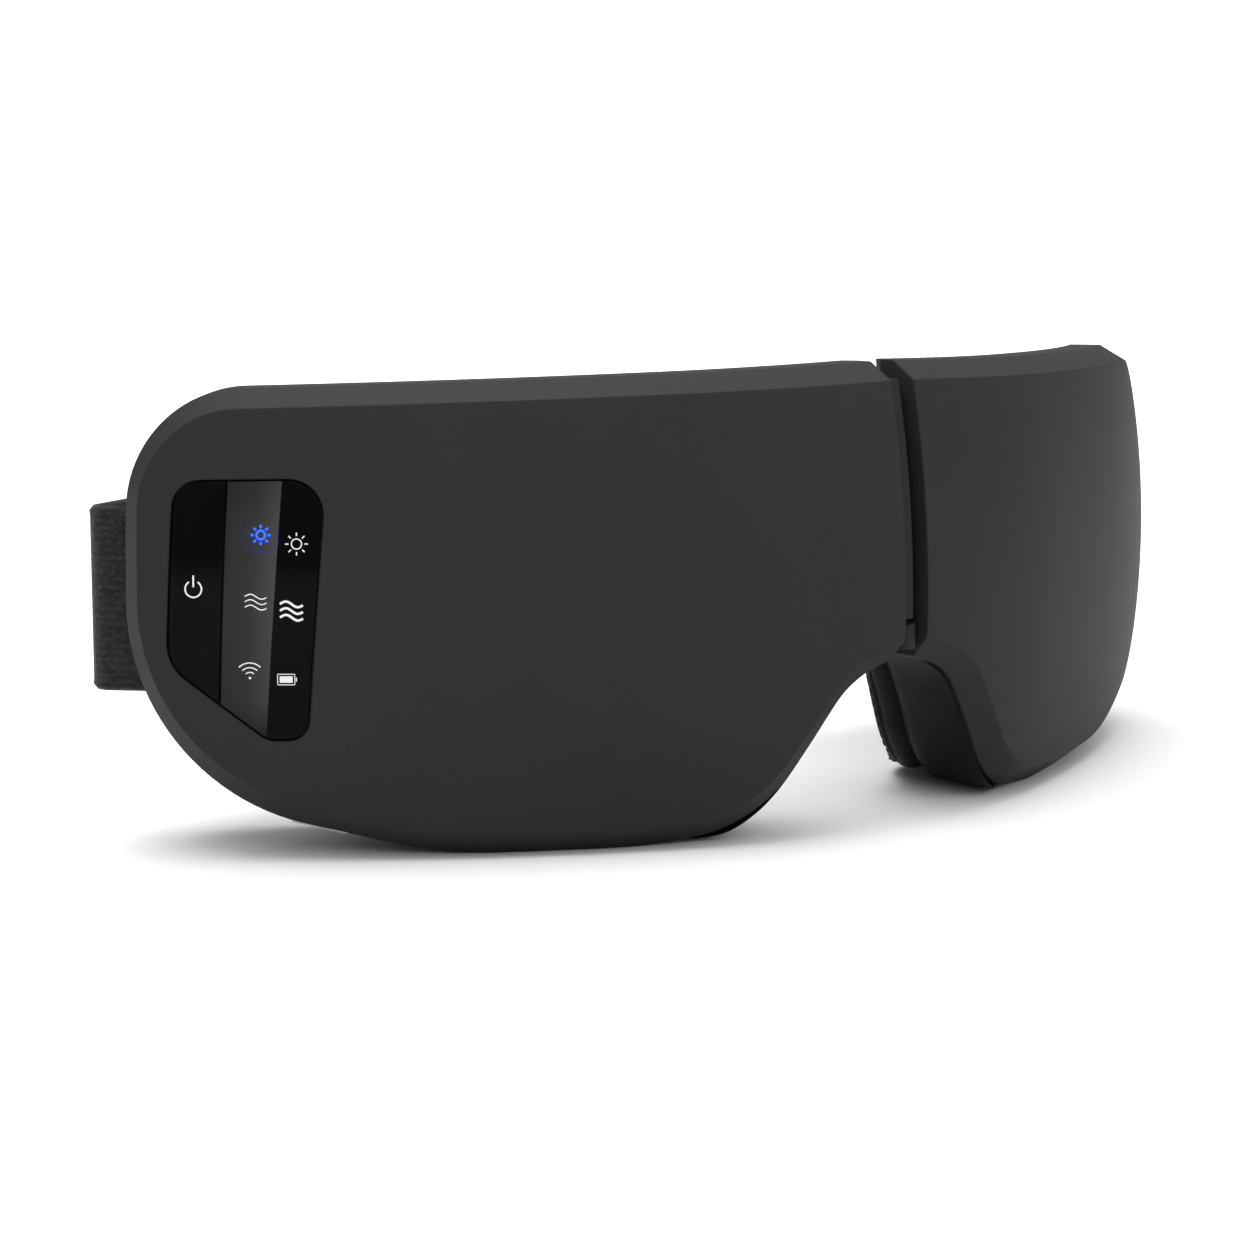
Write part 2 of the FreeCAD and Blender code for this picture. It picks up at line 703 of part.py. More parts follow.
def battery_cell(label):
    body = new_body(label)
    box_pad(body, "Sizes.battery_width", "Sizes.battery_height", "Sizes.battery_thick", label + "_block")
    doc.recompute()
    return body


def board(label, width, height):
    body = new_body(label)
    box_pad(body, width, height, "Sizes.board_thick", label + "_plate")
    doc.recompute()
    return body


def power_switch(label):
    body = new_body(label)
    round_pad(body, "Sizes.plunger_radius", "Sizes.plunger_reach + Sizes.switch_height",
              label + "_plunger")
    box_pad(body, "Sizes.switch_size", "Sizes.switch_size", "Sizes.switch_height", label + "_case",
            lift="Sizes.plunger_reach")
    doc.recompute()
    return body


def usb_port(label):
    body = new_body(label)
    box_pad(body, "Sizes.usb_width", "Sizes.usb_height", "Sizes.usb_length", label + "_case")
    doc.recompute()
    drawing = new_sketch(body, label + "_mouth_sketch")
    draw_rectangle(drawing, "Sizes.usb_width - 2 * Sizes.usb_wall",
                   "Sizes.usb_height - 2 * Sizes.usb_wall")
    pocket(body, drawing, "Sizes.usb_length - 2", label + "_mouth", reverse=True)
    doc.recompute()
    return body


def add_works():
    both_sides("vibration_motor", vibration_motor, (*MOTOR_SPOT, "along"))
    both_sides("pump_motor", pump_motor, (*PUMP_SPOT, "up"))
    head_low = PUMP_SPOT[1] + size("pump_length") + size("fit_gap")
    both_sides("pump_head", pump_head, (PUMP_SPOT[0], head_low, PUMP_SPOT[2], "up"))
    both_sides("air_valve", air_valve, (*VALVE_SPOT, "up"))
    both_sides("air_hose", air_hose, (*HOSE_SPOT, "back"))
    both_sides("speaker", speaker, (*SPEAKER_SPOT, "back"))
    add_weights()
    battery = battery_cell("battery_cell")
    battery.Placement = spot(1, *BATTERY_SPOT, "back")
    main_board = board("main_board", "Sizes.main_board_width", "Sizes.main_board_height")
    main_board.Placement = spot(-1, *MAIN_BOARD_SPOT, "back")
    led_board = board("led_board", "Sizes.led_board_width", "Sizes.led_board_height")
    led_board.Placement = spot(-1, *LED_BOARD_SPOT, "back")
    switch = power_switch("power_switch")
    switch_depth = (LED_BOARD_SPOT[2] - size("switch_clear") - size("switch_height")
                    - size("plunger_reach"))
    switch.Placement = spot(-1, size("button_s"), size("button_height"), switch_depth, "back")
    port = usb_port("usb_port")
    port.Placement = port_place(-1)


def add_weights():
    """Eccentric weights just past the ends of their motors, on the same axes."""
    weight = eccentric_weight("right_eccentric_weight")
    base = spot(1, *MOTOR_SPOT, "along")
    start = base.multVec(Vector(0, 0, size("motor_length") + size("running_gap")))
    weight.Placement = Placement(start, base.Rotation)
    mirror_of("left_eccentric_weight", weight)


# ---------------------------------------------------------------- hinge

def knuckles(segments, bore):
    """Knuckles of one leaf with their necks, on the +X side."""
    shapes = []
    for segment in segments:
        low = size("knuckle_low") + segment * size("knuckle_length") + size("knuckle_gap") / 2
        tall = size("knuckle_length") - size("knuckle_gap")
        barrel = Part.makeCylinder(size("knuckle_radius"), tall, Vector(0, HINGE.y, low))
        neck = Part.makeBox(size("knuckle_radius") + size("leaf_clear") + 1, size("leaf_thick"), tall,
                            Vector(0, HINGE.y - size("leaf_thick") / 2, low))
        shapes.append(barrel.fuse(neck))
    hole = Part.makeCylinder(bore, 200, Vector(0, HINGE.y, -50))
    return [shape.cut(hole) for shape in shapes]


def leaf_shape(segments, bore):
    start = size("knuckle_radius") + size("leaf_clear")
    low = size("knuckle_low") + size("knuckle_gap") / 2
    tall = 5 * size("knuckle_length") - size("knuckle_gap")
    body = Part.makeBox(size("leaf_reach") - start, size("leaf_thick"), tall,
                        Vector(start, HINGE.y - size("leaf_thick") / 2, low))
    for shape in knuckles(segments, bore):
        body = body.fuse(shape)
    for z in leaf_screw_heights():
        body = body.cut(leaf_screw_shank(z))
    return body


def leaf_screws_shape():
    screws = []
    rear = HINGE.y + size("leaf_thick") / 2
    for z in leaf_screw_heights():
        head = Part.makeCylinder(size("head_radius"), size("head_height"),
                                 Vector(size("leaf_screw_x"), rear, z), Vector(0, 1, 0))
        screws.append(head.fuse(leaf_screw_shank(z)))
    return Part.makeCompound(screws)


def frame_screws_shape():
    screws = []
    under = screw_head_depth()
    for s, z in FRAME_BOSSES:
        head = frame_hole(s, z, size("head_radius"), under, under + size("head_height"))
        screws.append(head.fuse(frame_hole(s, z, size("screw_radius"), screw_tip_depth(), under)))
    return Part.makeCompound(screws)


def pin_hole():
    return Part.makeCylinder(size("pin_radius"), size("pin_length"),
                             Vector(0, HINGE.y, size("pin_low")))


def lower_cap_shape():
    """Cap below the knuckles, carried forward to fill the end of the gap between the halves."""
    low = size("cap_low")
    radius = size("knuckle_radius")
    front = sag(low) + size("cap_sink") + radius
    post = Part.makeCylinder(radius, size("cap_height"), Vector(0, HINGE.y, low))
    nose = Part.makeCylinder(radius, size("cap_height"), Vector(0, front, low))
    web = Part.makeBox(2 * radius, HINGE.y - front, size("cap_height"), Vector(-radius, front, low))
    return post.fuse([web, nose]).removeSplitter().cut(pin_hole())


def upper_cap_shape():
    cap = Part.makeCylinder(size("knuckle_radius"), size("top_cap_height"),
                            Vector(0, HINGE.y, size("top_cap_low")))
    return cap.cut(pin_hole())


def cover_shape():
    """Tongue fixed to the left housing that hides the knuckles."""
    strip = slab(size("cover_sink"), size("cover_sink") + size("cover_thick"))
    box = Part.makeBox(size("gap_half") + size("cover_reach"), 30,
                       size("cover_high") - size("cover_low"),
                       Vector(-size("cover_reach"), -5, size("cover_low")))
    return strip.common(box)


def add_hinge():
    placed("right_hinge_leaf", leaf_shape([1, 3], size("pin_radius") + size("running_gap")))
    placed("left_hinge_leaf", leaf_shape([0, 2, 4], size("pin_radius")), -1)
    right = placed("right_leaf_screws", leaf_screws_shape())
    mirror_of("left_leaf_screws", right)
    right = placed("right_frame_screws", frame_screws_shape())
    mirror_of("left_frame_screws", right)
    placed("hinge_cover", cover_shape(), -1)
    placed("lower_hinge_cap", lower_cap_shape(), -1)
    placed("upper_hinge_cap", upper_cap_shape(), -1)
    pin = new_body("hinge_pin")
    round_pad(pin, "Sizes.pin_radius", "Sizes.pin_length", "hinge_pin_rod")
    pin.Placement = Placement(HINGE + ORIGIN_SHIFT + Vector(0, 0, size("pin_low")), Rotation())


# ---------------------------------------------------------------- strap

def anchor_depth():
    """Depth of the middle of the webbing where it is clamped behind the housing."""
    bulge = sag(size("strap_height") + size("strap_width") / 2)
    return size("shell_depth") + bulge + 2 * size("fit_gap") + size("strap_thick") / 2


def strap_frame():
    """Fold line of the strap at the temple end, with the directions along and behind it."""
    fold_depth = anchor_depth() + size("strap_thick") / 2 + size("fold_radius")
    pivot = size("half_length") + size("pivot_reach")
    hub = wrap_point(pivot, fold_depth, size("barrel_height"))
    hub.z = size("strap_height") - size("strap_width") / 2
    angle = turn(pivot)
    along = Vector(math.cos(angle), math.sin(angle), 0)
    return hub, along, Vector(-along.y, along.x, 0)


def strap_route():
    """Fold line, then the strap's centre line beside it, at its bend and at its tip."""
    hub, along, behind = strap_frame()
    bend = Vector(size("bend_x"), size("bend_y"), hub.z)
    offset = size("fold_radius") + size("strap_thick") / 2
    tangent = math.degrees(math.asin(offset / (bend - hub).Length))
    run = Rotation(Vector(0, 0, 1), tangent).multVec((bend - hub).normalize())
    start = hub + Vector(run.y, -run.x, 0) * offset
    return hub, start, bend, Vector(size("tip_x"), size("tip_y"), hub.z)


def anchor_shape():
    """Webbing fixed to a half: a flat tongue behind the housing and the fold round the pivot."""
    hub, along, behind = strap_frame()
    _, start, bend, tip = strap_route()
    outward = (start - hub).normalize()
    inner = size("fold_radius")
    outer = inner + size("strap_thick")
    back = along * -size("anchor_reach")
    run = (bend - start).normalize()
    last = (outward * inner + run * math.sqrt(outer ** 2 - inner ** 2)).normalize()
    middle = outward
    edges = [Part.makeLine(hub - behind * inner + back, hub - behind * outer + back),
             Part.makeLine(hub - behind * outer + back, hub - behind * outer),
             Part.Arc(hub - behind * outer, hub + middle * outer, hub + last * outer).toShape(),
             Part.makeLine(hub + last * outer, hub + last * inner),
             Part.Arc(hub + last * inner, hub + middle * inner, hub - behind * inner).toShape(),
             Part.makeLine(hub - behind * inner, hub - behind * inner + back)]
    return Part.Face(Part.Wire(edges)).extrude(Vector(0, 0, size("strap_width")))


def anchor_box(width, height, thick, front_gap):
    """Upright box behind the webbing's tongue, seen along the fold's own directions."""
    hub, along, behind = strap_frame()
    end = hub - behind * size("fold_radius") - along * size("anchor_reach")
    base = end + behind * front_gap
    base.z = size("strap_height") - height / 2
    corners = [base, base + along * width, base + along * width + behind * thick,
               base + behind * thick, base]
    return Part.Face(Part.makePolygon(corners)).extrude(Vector(0, 0, height))


def clamp_shape():
    return anchor_box(size("clamp_width"), size("clamp_height"), size("clamp_thick"),
                      size("seat_gap"))


def anchor_notch():
    """Room in the cushion's side wall for the webbing and its clamp."""
    gap = 2 * size("fit_gap")
    front = -size("strap_thick") - 4.0
    depth = size("clamp_thick") + gap - front
    room = anchor_box(size("anchor_reach") + 5, size("strap_width") + 2 * gap, depth, front)
    hub, along, behind = strap_frame()
    return room.translated(along * -gap)


def strap_shape():
    """Flat band that starts at the fold, bends round the cushions and ends near the middle."""
    hub, start, bend, tip = strap_route()
    half = size("strap_thick") / 2
    first = (bend - start).normalize()
    second = (tip - bend).normalize()
    angle = math.acos(first.dot(second))
    trim = size("bend_radius") * math.tan(angle / 2)
    outward = Vector(first.y, -first.x, 0)
    outward_far = Vector(second.y, -second.x, 0)
    centre = bend - first * trim - outward * size("bend_radius")
    middle = (bend - centre).normalize()
    inner = size("fold_radius")
    clear = inner + size("strap_thick") + size("swing_gap")

    def bend_arc(offset):
        """Ends and middle of the bend, offset outwards from the centre line."""
        return (bend - first * trim + outward * offset,
                centre + middle * (size("bend_radius") + offset),
                bend + second * trim + outward_far * offset)

    near_start = start - outward * half + first * math.sqrt(clear ** 2 - inner ** 2)
    far_start = near_start + outward * size("strap_thick")
    far_arc = bend_arc(half)
    near_arc = bend_arc(-half)
    tip_far = tip + outward_far * half
    tip_near = tip - outward_far * half
    edges = [Part.makeLine(far_start, far_arc[0]), Part.Arc(*far_arc).toShape(),
             Part.makeLine(far_arc[2], tip_far), Part.makeLine(tip_far, tip_near),
             Part.makeLine(tip_near, near_arc[2]), Part.Arc(*reversed(near_arc)).toShape(),
             Part.makeLine(near_arc[0], near_start), Part.makeLine(near_start, far_start)]
    return Part.Face(Part.Wire(edges)).extrude(Vector(0, 0, size("strap_width")))


def patch_shape(outer):
    """Hook or loop patch near the tip, on the outer or the inner face of the strap."""
    hub, start, bend, tip = strap_route()
    run = (bend - tip).normalize()
    facing = Vector(-run.y, run.x, 0) * (1 if outer else -1)
    lift = Vector(0, 0, (size("strap_width") - size("patch_width")) / 2)
    near = tip + run * 3 + facing * (size("strap_thick") / 2 + size("seat_gap")) + lift
    far = near + run * size("patch_length")
    thick = facing * size("patch_thick")
    face = Part.Face(Part.makePolygon([near, far, far + thick, near + thick, near]))
    return face.extrude(Vector(0, 0, size("patch_width")))


def add_straps():
    anchor = placed("right_strap_anchor", anchor_shape())
    mirror_of("left_strap_anchor", anchor)
    clamp = placed("right_strap_clamp", clamp_shape())
    mirror_of("left_strap_clamp", clamp)
    strap = placed("right_strap", strap_shape())
    mirror_of("left_strap", strap)
    placed("right_hook_patch", patch_shape(False))
    placed("left_loop_patch", patch_shape(True), -1)


# ---------------------------------------------------------------- control panel

def panel_plate(front, rear, inset, edge_shift, keep_button):
    shape = outline(PANEL, inset)
    wall = band(shape, front - 3, shape, rear + 3)
    probe_s = size("button_s") if keep_button else 109.0
    where = wrap_point(probe_s, (front + rear) / 2, size("button_height"))
    return piece_at(slab(front, rear), [wall, divider(edge_shift)], where)


def tray_shape():
    front = size("shell_wall") + size("seat_gap")
    rear = front + size("tray_thick")
    body = plate(PANEL, front, rear, -size("tray_lap"), probe=(112.0, 45.0))
    light_gate = [(104.5, 26.0, 2.0), (114.0, 26.0, 2.0), (113.0, 57.0, 2.0), (103.5, 57.0, 2.0)]
    body = body.cut(plate(light_gate, front - 1, rear + 1, 0.0, probe=(109.0, 40.0)))
    reach = size("switch_size") / 2 + 0.4
    well = Part.makeBox(2 * reach, 2 * reach, 20, Vector(-reach, -reach, -10))
    place = spot(1, size("button_s"), size("button_height"), front, "back")
    well.Placement = Placement(place.Base - ORIGIN_SHIFT, place.Rotation)
    return body.cut(well)


def lights_shape():
    """Indicator lights on the front of the light board, in plan coordinates of the right half."""
    lamps = []
    place = spot(1, *LED_BOARD_SPOT, "back")
    for s, z in LIGHTS:
        lamp = Part.makeCylinder(1.1, 0.9, Vector(s - LED_BOARD_SPOT[0], -(z - LED_BOARD_SPOT[1]), -0.9))
        lamp.Placement = Placement(place.Base - ORIGIN_SHIFT, place.Rotation)
        lamps.append(lamp)
    return Part.makeCompound(lamps)


def add_panel():
    groove = size("panel_groove")
    sink = size("panel_sink")
    window = panel_plate(sink, sink + size("window_thick"), groove, -groove / 2, False)
    button = panel_plate(sink, sink + size("button_thick"), groove, groove / 2, True)
    placed("display_window", window, -1)
    placed("power_button", button, -1)
    placed("panel_tray", tray_shape(), -1)
    placed("indicator_lights", lights_shape(), -1)


# ---------------------------------------------------------------- assembly

def add_halves():
    shell = shell_shape()
    placed("right_front_shell", shell)
    placed("left_front_shell", left_shell_shape(shell), -1)
    frame = placed("right_inner_frame", frame_shape())
    mirror_of("left_inner_frame", frame)


def check_document():
    for item in doc.Objects:
        if "Invalid" in item.State or "Error" in item.State:
            raise RuntimeError(item.Label + " did not build")
    for piece in pieces:
        if piece.Shape.isNull() or not piece.Shape.isValid():
            raise RuntimeError(piece.Label + " has a faulty shape")


add_halves()
add_soft_parts()
add_hinge()
add_straps()
add_panel()
add_works()
doc.recompute()
check_document()
os.makedirs("parts", exist_ok=True)
for piece in pieces:
    piece.Shape.exportStep(os.path.join("parts", piece.Label + ".step"))
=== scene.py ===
import json
import math
import random
import bpy
import numpy as np
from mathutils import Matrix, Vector


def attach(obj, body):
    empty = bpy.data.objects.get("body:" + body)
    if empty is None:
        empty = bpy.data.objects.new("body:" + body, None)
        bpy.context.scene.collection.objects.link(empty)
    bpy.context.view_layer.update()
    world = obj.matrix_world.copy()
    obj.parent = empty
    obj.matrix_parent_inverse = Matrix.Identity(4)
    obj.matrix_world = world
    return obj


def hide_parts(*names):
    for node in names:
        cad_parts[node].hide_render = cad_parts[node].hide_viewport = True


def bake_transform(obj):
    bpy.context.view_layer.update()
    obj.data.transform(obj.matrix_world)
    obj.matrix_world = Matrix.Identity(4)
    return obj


# Foldable eye massager mask. A place on a half is given, as in the CAD, by s, the distance from
# the middle along the front, a depth behind the front surface and the height z, in millimetres.

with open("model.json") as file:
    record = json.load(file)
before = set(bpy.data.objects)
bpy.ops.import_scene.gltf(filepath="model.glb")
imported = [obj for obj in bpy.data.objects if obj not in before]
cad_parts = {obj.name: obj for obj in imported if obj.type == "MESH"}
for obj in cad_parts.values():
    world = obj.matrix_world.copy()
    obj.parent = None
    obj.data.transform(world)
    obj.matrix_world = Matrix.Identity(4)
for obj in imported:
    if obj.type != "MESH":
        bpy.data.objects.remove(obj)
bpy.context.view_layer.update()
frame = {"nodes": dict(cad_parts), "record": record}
MM = 0.001

# ---------------------------------------------------------------- places on a half

NOSE_RADIUS, NOSE_LENGTH, SIDE_RADIUS = 108.0, 42.5, 243.0
BARREL_RADIUS, BARREL_HEIGHT = 171.0, 36.5
PLAN_SHIFT = -43.7
NOSE_TURN = NOSE_LENGTH / NOSE_RADIUS
SIDE_CENTRE = (math.sin(NOSE_TURN) * (NOSE_RADIUS - SIDE_RADIUS),
               NOSE_RADIUS - math.cos(NOSE_TURN) * (NOSE_RADIUS - SIDE_RADIUS))
HINGE_Y = 8.4
WEDGE_TAN = math.tan(math.radians(28.0))


def sag(z):
    """How far the surface leans back at a height."""
    return (z - BARREL_HEIGHT) ** 2 / (2 * BARREL_RADIUS)


def plan(s, depth, z):
    """Plan place of the right half, with the front of the nose at y = 0."""
    if s <= NOSE_LENGTH:
        angle, centre, radius = s / NOSE_RADIUS, (0.0, NOSE_RADIUS), NOSE_RADIUS
    else:
        angle = NOSE_TURN + (s - NOSE_LENGTH) / SIDE_RADIUS
        centre, radius = SIDE_CENTRE, SIDE_RADIUS
    reach = radius - depth - sag(z)
    return centre[0] + math.sin(angle) * reach, centre[1] - math.cos(angle) * reach


def place(side, s, depth, z):
    """Point on the right half for side 1, or on the left half for side -1, in metres."""
    x, y = plan(s, depth, z)
    return Vector((side * x, y + PLAN_SHIFT, z)) * MM


def inward_limit(depth, z, gap=0.5):
    """Smallest s that stays clear of the other half when the mask folds."""
    low, high = 0.0, 45.0
    for _ in range(24):
        middle = (low + high) / 2
        x, y = plan(middle, depth, z)
        if x < max(2.5, max(y - HINGE_Y, 0) * WEDGE_TAN) + gap:
            low = middle
        else:
            high = middle
    return high


# ---------------------------------------------------------------- outlines

HOUSING = [(52.0, 0.0, 60.0), (82.0, 0.0, 90.0), (133.6, 12.2, 37.0), (133.6, 74.9, 19.0),
           (-6.0, 78.2, 2.0), (-6.0, 31.6, 2.0), (11.4, 25.9, 14.0), (28.8, 2.1, 25.0)]
WELL = [(40.0, 13.0, 14.0), (90.0, 13.0, 20.0), (112.0, 22.0, 14.0), (112.0, 61.5, 13.0),
        (24.0, 63.0, 9.0), (24.0, 34.0, 9.0)]
EYE = [(46.0, 20.0, 13.0), (86.0, 20.0, 16.0), (100.0, 28.0, 14.0), (100.0, 58.5, 15.0),
       (31.0, 60.0, 11.0), (31.0, 37.0, 10.0)]


def outline(corners, insets=0.0, per_arc=10):
    """Rounded outline as one closed list of (s, z); each corner is (s, z, radius)."""
    count = len(corners)
    if not isinstance(insets, (list, tuple)):
        insets = [insets] * count
    lines = []
    for i in range(count):
        a = np.array(corners[i][:2])
        b = np.array(corners[(i + 1) % count][:2])
        run = (b - a) / np.linalg.norm(b - a)
        lines.append((a + np.array([-run[1], run[0]]) * insets[i], run))
    points = []
    for i in range(count):
        (p, u), (q, v) = lines[i - 1], lines[i]
        cross = u[0] * v[1] - u[1] * v[0]
        step = ((q[0] - p[0]) * v[1] - (q[1] - p[1]) * v[0]) / cross
        vertex = p + u * step
        change = (insets[i - 1] + insets[i]) / 2
        radius = max(corners[i][2] - change if cross > 0 else corners[i][2] + change, 0.3)
        angle = math.acos(max(-1.0, min(1.0, float(u @ v))))
        start = vertex - u * radius * math.tan(angle / 2)
        sign = 1 if cross > 0 else -1
        centre = start + np.array([-u[1], u[0]]) * radius * sign
        first = start - centre
        for k in range(per_arc + 1):
            part = sign * angle * k / per_arc
            c, d = math.cos(part), math.sin(part)
            points.append(centre + np.array([first[0] * c - first[1] * d,
                                             first[0] * d + first[1] * c]))
    return np.array(points)


def housing_insets(side, top, foot):
    """One inset for each edge of HOUSING, in its order."""
    return [foot, foot, side, top, 0.0, side, side, foot]


def resample(points, count):
    """Even points round a closed outline."""
    closed = np.vstack([points, points[:1]])
    lengths = np.concatenate([[0], np.cumsum(np.linalg.norm(np.diff(closed, axis=0), axis=1))])
    steps = np.linspace(0, lengths[-1], count, endpoint=False)
    return np.column_stack([np.interp(steps, lengths, closed[:, k]) for k in range(2)])


def smooth_loop(points, rounds):
    """Rounds off a closed loop by averaging each point with its neighbours."""
    for _ in range(rounds):
        points = points * 0.5 + (np.roll(points, 1, 0) + np.roll(points, -1, 0)) * 0.25
    return points


def matched(inner, outer):
    """Turns the inner loop so that its points face those of the outer one."""
    shifts = range(0, len(inner), 2)
    best = min(shifts, key=lambda k: np.sum((np.roll(inner, -k, 0) - outer) ** 2))
    return np.roll(inner, -best, 0)


# ---------------------------------------------------------------- mesh helpers

def new_piece(name, vertices, faces, body, material, smooth=True, parent=None):
    mesh = bpy.data.meshes.new(name)
    mesh.from_pydata([tuple(v) for v in vertices], [], faces)
    mesh.validate()
    piece = bpy.data.objects.new(name, mesh)
    bpy.context.scene.collection.objects.link(piece)
    if smooth:
        mesh.polygons.foreach_set("use_smooth", [True] * len(mesh.polygons))
    mesh.materials.append(material)
    if parent is not None:
        bpy.context.view_layer.update()
        piece.parent = parent
        piece.matrix_parent_inverse = parent.matrix_world.inverted()
    elif body is not None:
        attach(piece, body)
    return piece


def modify(piece, kind, **settings):
    """Adds a modifier, and applies it at once."""
    modifier = piece.modifiers.new(kind.title(), kind)
    for key, value in settings.items():
        setattr(modifier, key, value)
    graph = bpy.context.evaluated_depsgraph_get()
    mesh = bpy.data.meshes.new_from_object(piece.evaluated_get(graph), depsgraph=graph)
    piece.modifiers.clear()
    old = piece.data
    piece.data = mesh
    mesh.name = piece.name
    bpy.data.meshes.remove(old)
    return piece


def grid_faces(rows, columns, close_rows=True, close_columns=False, flip=False, base=0):
    faces = []
    for i in range(rows if close_rows else rows - 1):
        for j in range(columns if close_columns else columns - 1):
            a = base + i * columns + j
            b = base + i * columns + (j + 1) % columns
            c = base + ((i + 1) % rows) * columns + (j + 1) % columns
            d = base + ((i + 1) % rows) * columns + j
            faces.append((a, d, c, b) if flip else (a, b, c, d))
    return faces


def capsule(start, end, radius, sides=6):
    """Small rounded thread stitch between two points."""
    axis = (end - start).normalized()
    side = axis.orthogonal().normalized()
    up = axis.cross(side)
    length = (end - start).length
    stations = [(0.0, 0.35), (0.15, 0.85), (0.5, 1.0), (0.85, 0.85), (1.0, 0.35)]
    vertices = []
    for share, width in stations:
        for k in range(sides):
            angle = 2 * math.pi * k / sides
            vertices.append(start + axis * length * share
                            + (side * math.cos(angle) + up * math.sin(angle)) * radius * width)
    faces = [(i * sides + k, (i + 1) * sides + k, (i + 1) * sides + (k + 1) % sides,
              i * sides + (k + 1) % sides) for i in range(4) for k in range(sides)]
    faces.append(tuple(range(sides)))
    faces.append(tuple(4 * sides + k for k in reversed(range(sides))))
    return vertices, faces


def stitch_line(name, path, length, gap, radius, body, material, parent=None):
    """Row of thread stitches along a list of points."""
    vertices, faces = [], []
    runs = [(b - a).length for a, b in zip(path, path[1:])]
    total = sum(runs)
    marks = np.concatenate([[0], np.cumsum(runs)])

    def at(distance):
        return Vector([float(np.interp(distance, marks, [p[k] for p in path])) for k in range(3)])

    travelled = gap / 2
    while travelled + length < total:
        part, flats = capsule(at(travelled), at(travelled + length), radius)
        faces += [tuple(len(vertices) + i for i in face) for face in flats]
        vertices += part
        travelled += length + gap
    return new_piece(name, vertices, faces, body, material, parent=parent)


# ---------------------------------------------------------------- materials

class Nodes:
    """Short way to build a procedural material."""

    def __init__(self, name, colour, roughness, metallic=0.0, specular=0.5):
        self.material = bpy.data.materials.new(name)
        self.material.use_nodes = True
        self.tree = self.material.node_tree
        self.shader = self.tree.nodes["Principled BSDF"]
        self.shader.inputs["Base Color"].default_value = (*colour, 1.0)
        self.shader.inputs["Roughness"].default_value = roughness
        self.shader.inputs["Metallic"].default_value = metallic
        self.shader.inputs["Specular IOR Level"].default_value = specular
        self.material.diffuse_color = (*colour, 1.0)
        self.position = self.add("ShaderNodeTexCoord").outputs["Object"]
        self.normal = None

    def add(self, kind, **settings):
        node = self.tree.nodes.new(kind)
        for key, value in settings.items():
            setattr(node, key, value)
        return node

    def link(self, source, target):
        self.tree.links.new(source, target)

    def noise(self, scale, detail=3.0, rough=0.5, vector=None):
        node = self.add("ShaderNodeTexNoise")
        node.inputs["Scale"].default_value = scale
        node.inputs["Detail"].default_value = detail
        node.inputs["Roughness"].default_value = rough
        self.link(vector or self.position, node.inputs["Vector"])
        return node.outputs["Fac"]

    def cells(self, scale, feature="F1", vector=None):
        node = self.add("ShaderNodeTexVoronoi", feature=feature)
        node.inputs["Scale"].default_value = scale
        self.link(vector or self.position, node.inputs["Vector"])
        return node.outputs["Distance"]

    def math(self, operation, a, b=None, clamp=False):
        node = self.add("ShaderNodeMath", operation=operation, use_clamp=clamp)
        for index, value in enumerate((a, b)):
            if value is None:
                continue
            if isinstance(value, (int, float)):
                node.inputs[index].default_value = value
            else:
                self.link(value, node.inputs[index])
        return node.outputs[0]

    def dot(self, direction, vector=None):
        node = self.add("ShaderNodeVectorMath", operation="DOT_PRODUCT")
        self.link(vector or self.position, node.inputs[0])
        node.inputs[1].default_value = tuple(direction)
        return node.outputs["Value"]

    def ramp(self, value, stops):
        node = self.add("ShaderNodeValToRGB")
        ramp = node.color_ramp
        while len(ramp.elements) < len(stops):
            ramp.elements.new(0.5)
        for element, (where, colour) in zip(ramp.elements, stops):
            element.position = where
            if isinstance(colour, (int, float)):
                colour = (colour, colour, colour)
            element.color = (*colour, 1.0)
        self.link(value, node.inputs["Fac"])
        return node.outputs["Color"]

    def mix(self, share, first, second):
        node = self.add("ShaderNodeMix", data_type="RGBA")
        for index, value in ((0, share), (6, first), (7, second)):
            if isinstance(value, (int, float)):
                node.inputs[index].default_value = value
            elif isinstance(value, tuple):
                node.inputs[index].default_value = (*value, 1.0)
            else:
                self.link(value, node.inputs[index])
        return node.outputs[2]

    def colour(self, source):
        self.link(source, self.shader.inputs["Base Color"])

    def rough(self, value, low, high):
        node = self.add("ShaderNodeMapRange")
        self.link(value, node.inputs["Value"])
        node.inputs["To Min"].default_value = low
        node.inputs["To Max"].default_value = high
        self.link(node.outputs["Result"], self.shader.inputs["Roughness"])

    def soften(self, radius):
        """Rounds sharp edges in the shading only."""
        node = self.add("ShaderNodeBevel", samples=4)
        node.inputs["Radius"].default_value = radius
        self.normal = node.outputs["Normal"]
        self.link(self.normal, self.shader.inputs["Normal"])
        return self

    def bump(self, height, distance, strength=1.0):
        node = self.add("ShaderNodeBump")
        node.inputs["Distance"].default_value = distance
        node.inputs["Strength"].default_value = strength
        self.link(height, node.inputs["Height"])
        if self.normal:
            self.link(self.normal, node.inputs["Normal"])
        self.normal = node.outputs["Normal"]
        self.link(self.normal, self.shader.inputs["Normal"])

    def set(self, name, value):
        self.shader.inputs[name].default_value = value


def grey(level):
    """Linear value of an sRGB grey."""
    level /= 255.0
    return level / 12.92 if level <= 0.04045 else ((level + 0.055) / 1.055) ** 2.4


def tone(red, green, blue):
    return grey(red), grey(green), grey(blue)


